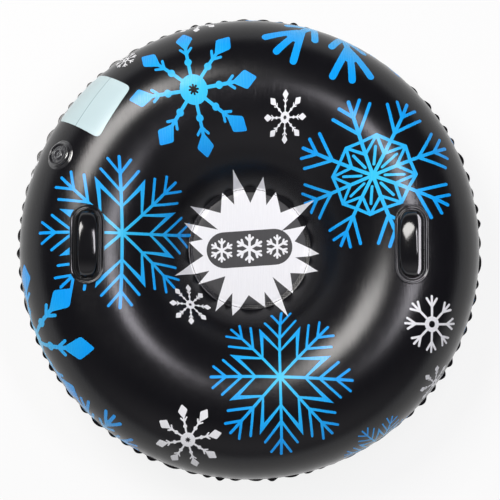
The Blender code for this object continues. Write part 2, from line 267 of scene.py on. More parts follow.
def new_tree(name, inputs, output_kind="Geometry", output_name="Geometry"):
    """A geometry tree with named inputs; returns its graph and its input node."""
    tree = bpy.data.node_groups.new(name, "GeometryNodeTree")
    for label, kind, default in inputs:
        socket = tree.interface.new_socket(label, in_out="INPUT", socket_type="NodeSocket" + kind)
        if default is not None:
            socket.default_value = default
    tree.interface.new_socket(output_name, in_out="OUTPUT", socket_type="NodeSocket" + output_kind)
    graph = Graph(tree)
    return graph, graph.node("NodeGroupInput")


def end_tree(graph, result):
    """Links a tree's result to its output."""
    graph.node("NodeGroupOutput", None, {0: result})
    return graph.tree


def end_shape(graph, geometry, material):
    """Ends a tree with its geometry, realised and in its material."""
    whole = graph.shape("RealizeInstances", geometry)
    return end_tree(graph, graph.shape("SetMaterial", whole, {"Material": material}))


def add_object(name, data):
    """Links a mesh, lamp or camera to the scene as an object at the origin."""
    obj = bpy.data.objects.new(name, data)
    bpy.context.scene.collection.objects.link(obj)
    return obj


def bake(obj):
    """Turns an object's modifiers into a plain mesh."""
    bpy.context.view_layer.update()
    shown = obj.evaluated_get(bpy.context.evaluated_depsgraph_get())
    mesh = bpy.data.meshes.new_from_object(shown)
    obj.modifiers.clear()
    obj.data = mesh
    return obj


def grow(name, mesh, tree, values):
    """Runs a geometry tree on a mesh and keeps its result as a plain object."""
    obj = add_object(name, mesh)
    modifier = obj.modifiers.new("shape", "NODES")
    modifier.node_group = tree
    for item in tree.interface.items_tree:
        if item.item_type == "SOCKET" and item.in_out == "INPUT" and item.name in values:
            modifier[item.identifier] = values[item.name]
    return bake(obj)


def mesh_from(name, points, faces):
    """A mesh from points and faces."""
    mesh = bpy.data.meshes.new(name)
    mesh.from_pydata([tuple(p) for p in points], [], [tuple(f) for f in faces])
    mesh.update()
    return mesh


def flat_mesh(name, points, faces):
    """A mesh in the XY plane."""
    return mesh_from(name, [(x, y, 0) for x, y in points], faces)


def chain(name, points):
    """A mesh of one open line through points."""
    mesh = bpy.data.meshes.new(name)
    mesh.from_pydata(points, [(i, i + 1) for i in range(len(points) - 1)], [])
    return mesh


def drop(*objects):
    """Removes helper objects."""
    for obj in objects:
        bpy.data.objects.remove(obj, do_unlink=True)


def face_outwards(mesh, weld=None):
    """Turns a closed mesh's faces outwards, after joining points nearer than a distance."""
    work = bmesh.new()
    work.from_mesh(mesh)
    if weld:
        bmesh.ops.remove_doubles(work, verts=work.verts, dist=weld)
    bmesh.ops.recalc_face_normals(work, faces=work.faces)
    work.to_mesh(mesh)
    work.free()
    mesh.update()


def smooth(obj, angle):
    """Shades an object smoothly, with sharp edges over an angle in degrees."""
    obj.data.shade_smooth()
    obj.data.set_sharp_from_angle(angle=deg(angle))
    return obj


def placed_axes(x, y, z, origin):
    """The matrix of a frame with the given axes and origin."""
    matrix = Matrix((x, y, z)).transposed().to_4x4()
    matrix.translation = origin
    return matrix


def finish_piece(obj, material, body, *nodes, slot=None):
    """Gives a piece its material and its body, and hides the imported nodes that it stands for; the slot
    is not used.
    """
    if material:
        obj.data.materials.clear()
        obj.data.materials.append(material)
    if body:
        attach(obj, body)
    if nodes:
        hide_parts(*nodes)


# The inflated wall

GAP = 0.3 * MM
WELD_WIDTH = 7.2 * MM
WELD_PRESS = 0.35 * MM
WELD_STEP = 0.7 * MM
HUB_FILLET = 2.2 * MM
SEAM_FILLET = 1.2 * MM
BEND_POINTS = 7
END_POINTS = 20
HALVINGS = 60
SETTLE_REACH = (-0.06, 0.04)
SETTLE_HALVINGS = 30


def wall_line(seam, hub, count=1400):
    """Slopes, radii and heights of the inflated wall from the central weld to the rim weld.

    The wall of an inflated flat disc is upright at the rim weld, and the sine of its slope grows
    with the square of the radius. The crown radius is where both sides climb equally.
    """
    low = seam / 2
    high = seam
    for _ in range(HALVINGS):
        crown = (low + high) / 2
        bend = 1 / (seam ** 2 - crown ** 2)
        start = -math.asin(min(1.0, bend * (crown ** 2 - hub ** 2)))
        slopes = np.linspace(start, QUARTER_TURN, count)
        radii = np.sqrt(crown ** 2 + np.sin(slopes) / bend)
        climb = -np.sin(slopes) / (2 * bend * radii)
        heights = np.concatenate([[0], np.cumsum((climb[1:] + climb[:-1]) / 2 * np.diff(slopes))])
        if heights[-1] > 0:
            high = crown
        else:
            low = crown
    return slopes, radii, heights


def bend_through(before, corner, after, count=BEND_POINTS):
    """Points of a smooth bend that leaves one point, heads for a corner and reaches another."""
    shares = np.linspace(0, 1, count)[:, None]
    return (1 - shares) ** 2 * before + 2 * shares * (1 - shares) * corner + shares ** 2 * after


class Profile:
    """The outer surface of one skin, from the centre over the floor and the wall to the rim."""

    def __init__(self, sheet, flat):
        size = sizes()
        slopes, radii, heights = wall_line(size.seam_radius, size.hub_radius)
        rise = heights.max()
        level = GAP / 2 + sheet
        self.weld_height = GAP / 2 + rise + size.lower_sheet - size.ground_flat
        above = heights + GAP / 2 + sheet * np.cos(slopes)
        if flat:
            above = np.minimum(above, rise + level - flat)
        wall = np.column_stack([radii + sheet * np.sin(slopes), above])

        slope = -slopes[0]
        corner = np.array([size.hub_radius - sheet * math.tan(slope / 2), level])
        out = corner - np.array([HUB_FILLET, 0])
        climb = corner + np.array([math.cos(slope), math.sin(slope)]) * HUB_FILLET
        inner = corner[0] - HUB_FILLET - WELD_WIDTH
        middle = inner + WELD_WIDTH / 2
        outer = inner + WELD_WIDTH
        press = [
            (inner - WELD_STEP, 0),
            (inner, WELD_PRESS),
            (middle - WELD_STEP, WELD_PRESS),
            (middle, WELD_PRESS / 3),
            (middle + WELD_STEP, WELD_PRESS),
            (outer - WELD_STEP, WELD_PRESS),
            (outer, 0),
        ]
        floor = [(0, level)] + [(radius, level - depth) for radius, depth in press]

        wall = wall[wall[:, 0] > climb[0]]
        wall = wall[(wall[:, 1] > level + SEAM_FILLET) | (wall[:, 0] < size.seam_radius / 2)]
        seam = np.array([size.seam_radius + sheet, level])
        rim_start = seam + np.array([SEAM_FILLET, 0])
        tip = np.array([size.seam_radius + RIM_REACH, level])
        rows = [floor, bend_through(out, corner, climb), wall]
        rows += [bend_through(wall[-1], seam, rim_start), [tip]]
        self.points = np.vstack([np.array(row) for row in rows])
        steps = np.hypot(*np.diff(self.points, axis=0).T)
        self.lengths = np.concatenate([[0], np.cumsum(steps)])
        self.total = self.lengths[-1]
        last = slice(-END_POINTS, None)
        self.seam = float(np.interp(seam[0], self.points[last, 0], self.lengths[last]))
        self.floor_lengths = self.lengths[1:len(floor)]
        self.hub = self.lengths[len(floor) + BEND_POINTS // 2]
        top = self.points[:, 0] < size.seam_radius
        self.plan_radii, self.plan_heights = self.points[top].T
        self.plan_lengths = self.lengths[top]

    def curve(self):
        """The profile as an object with one polyline, for a curve sampler."""
        points = [(r, 0, z) for r, z in self.points.tolist()]
        return add_object("profile_line", chain("profile_line", points))

    def height(self, radius):
        """World height of the upper surface at a radius."""
        return self.weld_height + np.interp(radius, self.plan_radii, self.plan_heights)

    def unrolled(self, point):
        """Where a point of the upper surface lies on the flat sheet."""
        radius = math.hypot(point[0], point[1])
        length = float(np.interp(radius, self.plan_radii, self.plan_lengths))
        return (point[0] / radius * length, point[1] / radius * length)

    def normal(self, point):
        """Outward direction of the upper surface above a point."""
        radius = math.hypot(point[0], point[1])
        fall = (self.height(radius + MM) - self.height(radius - MM)) / (2 * MM)
        return Vector((-fall * point[0] / radius, -fall * point[1] / radius, 1)).normalized()

    def settle(self, point, direction):
        """The point moved along an outward direction onto the upper surface."""
        inside, outside = SETTLE_REACH
        for _ in range(SETTLE_HALVINGS):
            move = (inside + outside) / 2
            moved = point + direction * move
            if self.height(math.hypot(moved.x, moved.y)) > moved.z:
                inside = move
            else:
                outside = move
        return moved


def upper_profile():
    """The profile of the upper skin."""
    return Profile(sizes().upper_sheet, 0)


# The puckers of the rim. A lobe's place is in lobes, its strength a share of the strongest one.
LOBE_DRIFT = 2.4
LOBE_HALF_SHARE = 0.36
LOBE_LEAST = 0.5
LOBE_PUFF = 0.35
CALM_PLACES = (60, -60)
CALM_REACH = (18, 9)
CALM_DROP = 0.8
CREASE_SHARE = 0.16
CREASE_POWER = 1.6
CREASE_LEAST = 0.3
PUSH_START = (-0.2 * MM, 5 * MM)
FLANGE_LEAST = 0.9 * MM
FLANGE_DROOP = 2.2 * MM
DROOP_CENTRE = 0.25


def surface_tree():
    """Node group: the point of a skin at a sheet length from the centre, an angle and a lift.

    It carries the puckers of the rim, so that skins and prints share them.
    """
    size = sizes()
    graph, given = new_tree(
        "Vinyl surface",
        [
            ("Profile", "Geometry", None),
            ("Length", "Float", 0.0),
            ("Angle", "Float", 0.0),
            ("Lift", "Float", 0.0),
            ("Side", "Float", 1.0),
            ("Seam length", "Float", 0.0),
            ("Weld height", "Float", 0.0),
            ("Lobes", "Float", float(size.lobe_count)),
            ("Crease depth", "Float", size.crease_depth),
            ("Crease length", "Float", size.crease_length),
            ("Wrinkle depth", "Float", size.wrinkle_depth),
            ("Wrinkle length", "Float", size.wrinkle_length),
        ],
        "Vector",
        "Position",
    )
    length = given["Length"]
    angle = given["Angle"]
    values = {"Curves": given["Profile"], "Length": length}
    sample = graph.node("GeometryNodeSampleCurve", {"mode": "LENGTH"}, values)
    radius, _, height = graph.split(sample["Position"])
    run, _, fall = graph.split(sample["Tangent"])

    around = graph.polar(1.0, angle)
    drift = graph.noise(around, 3.0, 2.0) * LOBE_DRIFT
    phase = angle / FULL_TURN * given["Lobes"] + drift
    across = phase.call("FRACT") - 0.5
    cell = phase.call("FLOOR").call("FLOORED_MODULO", given["Lobes"])
    chance = graph.node("ShaderNodeTexWhiteNoise", {"noise_dimensions": "1D"}, {"W": cell})["Value"]
    near_calm = [(angle - deg(place)).call("COSINE") for place in CALM_PLACES]
    calm = near_calm[0].call("MAXIMUM", near_calm[1])
    calm = calm.between(*[math.cos(deg(reach)) for reach in CALM_REACH])
    strength = (chance * (1 - LOBE_LEAST) + LOBE_LEAST) * (1 - calm * CALM_DROP)
    dome = 1 - (across / LOBE_HALF_SHARE) ** 2
    lobe = dome.call("MAXIMUM", 0.0) * strength
    edge = 0.5 - across.call("ABSOLUTE")
    fold = (1 - edge / CREASE_SHARE).call("MAXIMUM", 0.0) ** CREASE_POWER
    fold = fold * (strength * (1 - CREASE_LEAST) + CREASE_LEAST)

    inward = given["Seam length"] - length
    near, far = [
        (-(inward / given[name]).call("MAXIMUM", 0.0)).call("EXPONENT")
        for name in ("Crease length", "Wrinkle length")
    ]
    ripple = graph.noise(around, 11.0, 3.0) - 0.5
    push = (lobe * LOBE_PUFF - fold) * given["Crease depth"] * near
    push = push + ripple * given["Wrinkle depth"] * 2 * far
    push = given["Lift"] + push * inward.between(*PUSH_START)

    flange = (-inward / RIM_REACH).call("MAXIMUM", 0.0).call("MINIMUM", 1.0)
    reach = FLANGE_LEAST + (RIM_REACH - FLANGE_LEAST) * lobe
    out = radius - fall * push - flange * (RIM_REACH - reach)
    droop = flange * (lobe - DROOP_CENTRE) * FLANGE_DROOP
    up = given["Weld height"] + given["Side"] * (height + run * push) - droop
    return end_tree(graph, graph.polar(out, angle, up))


SURFACE_INPUTS = [
    ("Profile", "Object", None),
    ("Side", "Float", 1.0),
    ("Seam length", "Float", 0.0),
    ("Weld height", "Float", 0.0),
    ("Material", "Material", None),
]


def surface_values(profile, line, side, material):
    """What every tree on a skin is given."""
    return {
        "Profile": line,
        "Side": float(side),
        "Seam length": profile.seam,
        "Weld height": profile.weld_height,
        "Material": material,
    }


def surface_point(graph, surface, given, curve, length, angle, lift):
    """Calls the surface group with the tree's own inputs."""
    values = {"Profile": curve, "Length": length, "Angle": angle, "Lift": lift}
    for name in ("Side", "Seam length", "Weld height"):
        values[name] = given[name]
    return graph.node("GeometryNodeGroup", {"node_tree": surface}, values)[0]


def profile_curve(graph, given):
    """The profile object as a curve."""
    line = graph.node("GeometryNodeObjectInfo", None, {"Object": given["Profile"]})["Geometry"]
    return graph.shape("MeshToCurve", line)


def skin_tree(surface):
    """Geometry tree of a skin: a row of stations along the profile, turned round the tube."""
    graph, given = new_tree(
        "Turned vinyl sheet",
        [("Geometry", "Geometry", None), ("Segments", "Int", 960)] + SURFACE_INPUTS,
    )
    stations = given["Geometry"]
    segments = given["Segments"]
    count = graph.shape("AttributeDomainSize", stations, None, {"component": "MESH"})
    rows = segments + 1
    grid = graph.node("GeometryNodeMeshGrid", None, {"Vertices X": count, "Vertices Y": rows})["Mesh"]
    index = graph.read("Index")
    station = (index / rows).call("FLOOR")
    segment = index - station * rows
    values = {"Value": graph.read("Position"), "Index": station}
    sampled = graph.shape("SampleIndex", stations, values, {"data_type": "FLOAT_VECTOR"})
    length, _, lift = graph.split(sampled)
    angle = segment / segments * FULL_TURN
    for name, value in (("length", length), ("angle", angle), ("lift", lift)):
        grid = graph.store(grid, name, value)
    length, angle, lift = [graph.stored(name) for name in ("length", "angle", "lift")]
    grid = graph.store(grid, "flat", graph.polar(length, angle), "FLOAT_VECTOR")
    curve = profile_curve(graph, given)
    position = surface_point(graph, surface, given, curve, length, angle, lift)
    grid = graph.shape("SetPosition", grid, {"Position": position})
    grid = graph.shape("MergeByDistance", grid, {"Distance": 0.01 * MM})
    grid = graph.shape("SetShadeSmooth", grid)
    return end_shape(graph, grid, given["Material"])


# Where the sheet has its stations: on the floor, and from the rim weld, where the wall is finer.
FLOOR_STATIONS = (0.0, 0.03, 0.06, 0.085, 0.105)
FINE_WALL = (-0.055, -0.004)
RIM_STATIONS = (-2 * MM, -0.6 * MM, 0.6 * MM, 2 * MM, 4 * MM, 6 * MM)
INNER_WALL_END = -0.02


def station_mesh(profile, sheet):
    """Stations of a closed sheet: out along its outer face and back along its inner face."""
    wall_start = profile.hub + HUB_FILLET
    fine_start, fine_end = [profile.seam + place for place in FINE_WALL]
    outer = [*FLOOR_STATIONS, *profile.floor_lengths]
    outer += list(np.linspace(outer[-1] + HUB_FILLET / 3, wall_start, BEND_POINTS))
    outer += list(np.linspace(wall_start, fine_start, 44)[1:])
    outer += list(np.linspace(fine_start, fine_end, 12)[1:])
    outer += [profile.seam + place for place in RIM_STATIONS] + [profile.total]
    inner = [profile.total, profile.seam + RIM_STATIONS[2], profile.seam + RIM_STATIONS[0]]
    inner += list(np.linspace(profile.seam + INNER_WALL_END, wall_start, 9))
    inner += [profile.hub, 0.0]
    points = [(length, 0, 0) for length in outer] + [(length, 0, -sheet) for length in inner]
    return chain("stations", points)


# Materials

SHEET_SPECULAR = 0.38
SHEET_GRAIN = (420.0, 16.0, 1.0)
KNURL = 900


def with_alpha(tint, share=1.0):
    """A colour times a share, as the four numbers that a socket takes."""
    return (*[part * share for part in tint], 1.0)


class Paint(Graph):
    """Builds the node tree of one Principled material on plain values for its sockets."""

    def __init__(self, name, plain):
        self.material = bpy.data.materials.new(name)
        self.material.use_nodes = True
        super().__init__(self.material.node_tree)
        self.shader = self.tree.nodes["Principled BSDF"]
        for label, value in plain.items():
            self.shader.inputs[label].default_value = value

    def attribute(self, name, output="Vector"):
        """A value that the mesh carries under a name."""
        return self.node("ShaderNodeAttribute", {"attribute_name": name})[output]

    def place(self):
        """Where a point lies on the object."""
        return self.node("ShaderNodeTexCoord")["Object"]

    def streaks(self, vector, scale, detail, roughness):
        """Noise with a scale of its own along each axis."""
        stretched = self.node("ShaderNodeMapping", None, {"Vector": vector, "Scale": scale})[0]
        return self.noise(stretched, 1.0, detail, roughness)

    def tones(self, factor, tint, low, high):
        """A colour fading from one share of itself to another."""
        return self.mix(factor, with_alpha(tint, low), with_alpha(tint, high))

    def finish(self, tint, roughness, height=None, distance=0.0, strength=1.0):
        """Links colour and roughness, and raises the surface by a height from 0 to 1."""
        self.put(self.shader.inputs["Base Color"], tint)
        self.put(self.shader.inputs["Roughness"], roughness)
        if height is not None:
            values = {"Height": height, "Distance": distance, "Strength": strength}
            self.put(self.shader.inputs["Normal"], self.node("ShaderNodeBump", None, values)[0])
        return self.material


def vinyl_material(name, tint, floor_tint, weld_start, hub_radius):
    """Black calendered vinyl with a fine embossed grain, duller on the seat floor."""
    paint = Paint(name, {"Specular IOR Level": SHEET_SPECULAR})
    flat = paint.attribute("flat")
    u, v, _ = paint.split(flat)
    radius = (u * u + v * v).call("SQRT")
    floor = 1 - radius.between(weld_start - 0.6 * MM, weld_start + 0.6 * MM)
    grain = paint.streaks(flat, SHEET_GRAIN, 2.0, 0.6)
    speck = paint.noise(flat, 900.0, 1.0)
    cloud = paint.noise(flat, 7.0, 3.0, 0.55)
    dust = paint.noise(flat, 38.0, 4.0, 0.65).between(0.45, 0.8)
    dark = paint.tones(cloud * 0.5 + grain * 0.5, tint, 0.7, 1.35)
    pale = paint.tones(grain, floor_tint, 0.8, 1.25)
    rough = 0.17 + cloud * 0.05 + dust * 0.04 + grain * 0.05 + floor * 0.28
    weld = radius.between(weld_start, weld_start + MM)
    weld = weld * (1 - radius.between(hub_radius - 3 * MM, hub_radius - 2 * MM))
    knurl = (u * KNURL + v * KNURL).call("SINE") * (u * KNURL - v * KNURL).call("SINE")
    height = grain * 0.75 + speck * 0.25 + weld * knurl * 0.8
    return paint.finish(paint.mix(floor, dark, pale), rough, height, 0.2 * MM)


def ink_material(name, light, deep):
    """Screen-printed ink that fades from the motif's middle to its tips."""
    paint = Paint(name, {"Specular IOR Level": SHEET_SPECULAR})
    flat = paint.attribute("flat")
    reach = paint.attribute("reach", "Fac")
    cloud = paint.noise(flat, 9.0)
    shade = reach * 1.15 + (cloud - 0.5) * 0.5 - 0.05
    shade = shade.call("MAXIMUM", 0.0).call("MINIMUM", 1.0)
    grain = paint.streaks(flat, SHEET_GRAIN, 2.0, 0.6)
    fresh = paint.mix(shade, with_alpha(light), with_alpha(deep))
    worn = paint.mix(grain * 0.25, fresh, with_alpha(deep, 0.82))
    return paint.finish(worn, 0.18 + grain * 0.12 + cloud * 0.06, grain, 0.1 * MM, 0.6)


def moulded_material(name, tint, gloss, clear=0.0, coat=0.0, relief=0.35):
    """Glossy injection-moulded vinyl with a faint flow pattern and fine scuffs."""
    plain = {
        "Specular IOR Level": 0.55,
        "Transmission Weight": clear,
        "IOR": 1.5,
        "Coat Weight": coat,
        "Coat Roughness": 0.04,
    }
    paint = Paint(name, plain)
    place = paint.place()
    flow = paint.noise(place, 60.0, 3.0, 0.55)
    scuff = paint.streaks(place, (90.0, 900.0, 90.0), 3.0, 0.7)
    rough = gloss + scuff.between(0.55, 0.8) * 0.10 + flow * 0.03
    height = flow * 0.8 + scuff * 0.2
    return paint.finish(paint.tones(flow, tint, 0.75, 1.3), rough, height, 0.4 * MM, relief)


# Skins

# Each skin: its name, the side that it lies on and how bright its vinyl is drawn; the lower skin's
# darker share is painted shade on the underside.
SKINS = (("upper_skin", 1, 1.0), ("lower_skin", -1, 0.85))


class SNOWTUBE_OT_skins(bpy.types.Operator):
    """Builds the upper and lower vinyl discs with their welds and puckered rim"""

    bl_idname = "snow_tube.skins"
    bl_label = "Vinyl skins"

    def execute(self, context):
        size = sizes()
        tree = skin_tree(surface_tree())
        for name, side, share in SKINS:
            upper = side > 0
            sheet = size.upper_sheet if upper else size.lower_sheet
            profile = Profile(sheet, 0 if upper else size.ground_flat)
            line = profile.curve()
            # The share darkens the lower skin's vinyl and floor colours as painted shade on the
            # underside; the upper skin keeps its own colours.
            tints = [[part * share for part in tint] for tint in (colors().vinyl, colors().floor_vinyl)]
            weld_start = float(profile.floor_lengths[0])
            vinyl = vinyl_material(name + "_vinyl", *tints, weld_start, size.hub_radius)
            values = surface_values(profile, line, side, vinyl)
            values["Segments"] = size.lobe_count * size.lobe_points
            skin = grow("tube_" + name, station_mesh(profile, sheet), tree, values)
            face_outwards(skin.data)
            if upper:
                open_port(skin)
            finish_piece(skin, None, "tube", name, slot=name.split("_")[0] + "_vinyl")
            drop(line)
        return {"FINISHED"}


# Outlines

# How much of a side a rounded corner may take: one part in so many.
MOTIF_ROUNDING = 2.2
SECTION_ROUNDING = 2.05


def arc(centre, radius, start, end, count=7):
    """Points of a round stretch."""
    turns = np.linspace(start, end, count)
    return [(centre[0] + radius * math.cos(t), centre[1] + radius * math.sin(t)) for t in turns]


def disc(centre, radius, count=24):
    """A round blot."""
    return arc(centre, radius, 0, FULL_TURN, count + 1)[:-1]


def stroke(start, end, half_width):
    """A line with round ends."""
    along = math.atan2(end[1] - start[1], end[0] - start[0])
    first = arc(start, half_width, along + QUARTER_TURN, along + 3 * QUARTER_TURN)
    return first + arc(end, half_width, along - QUARTER_TURN, along + QUARTER_TURN)


def square(half):
    """A square about the middle."""
    return [(-half, -half), (half, -half), (half, half), (-half, half)]


def rounded(corners, radii, limit=SECTION_ROUNDING):
    """A closed path with each corner rounded by its own radius; a radius of 0 keeps the corner."""
    points = []
    for index, (corner, radius) in enumerate(zip(corners, radii)):
        corner = np.array(corner, dtype=float)
        if radius == 0:
            points.append(tuple(corner))
            continue
        before = np.array(corners[index - 1]) - corner
        after = np.array(corners[(index + 1) % len(corners)]) - corner
        cut = min(radius, np.hypot(*before) / limit, np.hypot(*after) / limit)
        start = corner + before / np.hypot(*before) * cut
        end = corner + after / np.hypot(*after) * cut
        points += [tuple(p) for p in bend_through(start, corner, end, 5)]
    return points


def soft_polygon(corners, radius):
    """A polygon with all its corners rounded alike."""
    return rounded(corners, [radius] * len(corners), MOTIF_ROUNDING)


def polar(radius, turn):
    """A point by its distance and angle from the middle of a motif."""
    return (radius * math.cos(turn), radius * math.sin(turn))


def spaced(points, spacing):
    """A closed outline with its long sides divided."""
    result = []
    for here, there in zip(points, points[1:] + points[:1]):
        steps = max(1, math.ceil(math.dist(here, there) / spacing))
        for k in range(steps):
            result.append(tuple(a + (b - a) * k / steps for a, b in zip(here, there)))
    return result


def flip(points):
    """An outline mirrored across an arm, still running anticlockwise."""
    return [(x, -y) for x, y in points[::-1]]


def turn_by(points, turn):
    """An outline turned about the middle of a motif."""
    cosine, sine = math.cos(turn), math.sin(turn)
    return [(x * cosine - y * sine, x * sine + y * cosine) for x, y in points]


# Motifs. Each function gives the ink and the cuts along one arm, in shares of the motif's radius.

STAR_ARMS = 8
HALF_SECTOR = math.pi / STAR_ARMS


def kite_flake():
    """Arms with a bead, a small fork and a kite at the tip, on a hub with a star-shaped hole."""
    kite = [(1.0, 0), (0.825, 0.140), (0.625, 0.02), (0.625, -0.02), (0.825, -0.140)]
    ink = [
        disc(POLE, 0.215),
        stroke((0.15, 0), (0.70, 0), 0.026),
        disc((0.40, 0), 0.056),
        stroke((0.53, 0), (0.63, 0.085), 0.021),
        soft_polygon(kite, 0.035),
    ]
    return ink, [disc(POLE, 0.042), stroke(POLE, (0.065, 0), 0.016)]


def fern_flake():
    """Arms with two pairs of branches, and tapered petals between the arms."""
    petal = [(0.353, -0.010), polar(0.775, HALF_SECTOR), polar(0.615, HALF_SECTOR), (0.337, 0.010)]
    ink = [
        stroke(POLE, (0.975, 0), 0.019),
        stroke((0.765, 0), (0.945, 0.135), 0.017),
        stroke((0.54, 0), (0.81, 0.22), 0.017),
        petal,
    ]
    return ink, []


def web_flake():
    """Arms with two pairs of branches through an eight-sided web with short spokes."""
    vertex = polar(0.50, HALF_SECTOR)
    ink = [
        disc(POLE, 0.055),
        stroke(POLE, (0.975, 0), 0.022),
        stroke((0.775, 0), (0.945, 0.13), 0.020),
        stroke((0.555, 0), (0.855, 0.235), 0.020),
        stroke(vertex, (0.452, 0), 0.019),
        stroke(vertex, (0.285, 0), 0.018),
        stroke(polar(0.14, HALF_SECTOR), polar(0.36, HALF_SECTOR), 0.017),
    ]
    return ink, []


def prong_flake():
    """Heavy arms that end in three round prongs, with a pair of stubs half way."""
    ink = [
        disc(POLE, 0.16),
        stroke(POLE, (0.965, 0), 0.034),
        stroke((0.60, 0), (0.925, 0.175), 0.034),
        soft_polygon([(0.80, 0), (0.74, 0.105), (0.55, 0), (0.74, -0.105)], 0.02),
        stroke((0.40, 0), (0.615, 0.165), 0.034),
    ]
    return ink, []


def ring_flake():
    """Stout arms with one pair of branches, on a ring."""
    ink = [
        disc(POLE, 0.27),
        stroke((0.2, 0), (0.955, 0), 0.040),
        stroke((0.60, 0), (0.875, 0.18), 0.040),
    ]
    return ink, [disc(POLE, 0.115)]


def bold_flake():
    """Very stout arms with one pair of branches, for a mark that is read from far off."""
    ink = [disc(POLE, 0.20), stroke(POLE, (0.91, 0), 0.088), stroke((0.50, 0), (0.76, 0.24), 0.075)]
    return ink, []


# Prints

PRINT_SPACING = 0.007
RIM_PRINT_SPACING = 0.004
RIM_PRINT_START = 0.50
PRINT_MARGIN = 0.001
GRID_SHIFT = 0.37
WEDGE_REACH = 1.2
INK_BOTTOM = -0.05 * MM
BLUE_INK = 0.18 * MM
WHITE_INK = 0.22 * MM
BURST_INK = 0.26 * MM

# Each motif: its style, centre on the flat sheet, radius, turn, and height over width.
BLUE_MOTIFS = (
    (kite_flake, (-0.127, 0.353), 0.147, 11, 1),
    (kite_flake, (-0.532, -0.228), 0.188, -1.5, 1),
    (fern_flake, (-0.298, 0.027), 0.178, 0, 1),
    (fern_flake, (0.071, -0.307), 0.164, 0, 1),
    (fern_flake, (0.3265, -0.492), 0.104, 0, 1),
    (web_flake, (0.286, 0.160), 0.178, 21, 1),
    (prong_flake, (0.225, 0.609), 0.247, 1.4, 1),
    (prong_flake, (-0.388, -0.475), 0.125, 2, 1),
    (kite_flake, (0.600, 0.300), 0.120, 20, 1),
    (kite_flake, (0.640, -0.205), 0.110, 0, 1),
)
WHITE_MOTIFS = (
    (kite_flake, (0.083, 0.298), 0.049, 0, 1.17),
    (kite_flake, (-0.137, -0.134), 0.052, 0, 1),
    (kite_flake, (-0.137, -0.435), 0.077, 11, 1),
    (ring_flake, (0.407, -0.178), 0.060, 0, 1.08),
    (ring_flake, (-0.292, 0.442), 0.029, 10, 1),
    (kite_flake, (-0.125, 0.560), 0.060, 0, 1),
    (kite_flake, (-0.560, 0.205), 0.055, 0, 1),
    (kite_flake, (0.440, -0.323), 0.050, 11, 1),
)


def inked(shapes, cuts, inside, spacing, guides=()):
    """Points and triangles of the ink: inside the shapes and the border, and outside the cuts.

    The shapes may overlap. Loose grid points keep the triangles small enough to bend with the wall.
    """
    points = []
    edges = []
    faces = []
    for outline in [inside] + [spaced(line, spacing) for line in shapes + cuts]:
        faces.append(list(range(len(points), len(points) + len(outline))))
        points += [Vector(p) for p in outline]
    for guide in guides:
        first = len(points)
        points += [Vector(p) for p in guide]
        edges += [(first + i, first + (i + 1) % len(guide)) for i in range(len(guide))]
    corners = np.array([p for shape in shapes for p in shape])
    low, high = corners.min(axis=0), corners.max(axis=0)
    steps = ((high - low) / spacing).astype(int) + 2
    for i in range(steps[0]):
        for j in range(steps[1]):
            x = low[0] + (i + GRID_SHIFT * (j % 2)) * spacing
            points.append(Vector((x, low[1] + j * spacing)))
    found = delaunay_2d_cdt(points, edges, faces, 0, 0.00001, True)
    vertices, _, triangles, _, _, sources = found
    ink = set(range(1, 1 + len(shapes)))
    hole = set(range(1 + len(shapes), 1 + len(shapes) + len(cuts)))
    kept = [
        triangle
        for triangle, source in zip(triangles, sources)
        if 0 in source and ink & set(source) and not hole & set(source)
    ]
    used = sorted({index for triangle in kept for index in triangle})
    order = {old: new for new, old in enumerate(used)}
    return [tuple(vertices[i]) for i in used], [tuple(order[i] for i in t) for t in kept]


def arm_mesh(style, spacing, arms=STAR_ARMS):
    """One arm's share of a motif of radius 1, symmetric about its arm, as a flat mesh."""
    half = math.pi / arms
    ink, cut = style()
    for outlines in (ink, cut):
        outlines += [flip(line) for line in outlines]
        outlines += [turn_by(line, 2 * half) for line in outlines]
    rays = np.linspace(0, WEDGE_REACH, int(WEDGE_REACH / spacing) + 2)[1:]
    wedge = [POLE] + [(r, 0.0) for r in rays] + [polar(r, half) for r in rays[::-1]]
    points, triangles = inked(ink, cut, wedge, spacing)
    count = len(points)
    mirrored = [tuple(i + count for i in t[::-1]) for t in triangles]
    return flat_mesh("arm", points + [(x, -y) for x, y in points], triangles + mirrored)


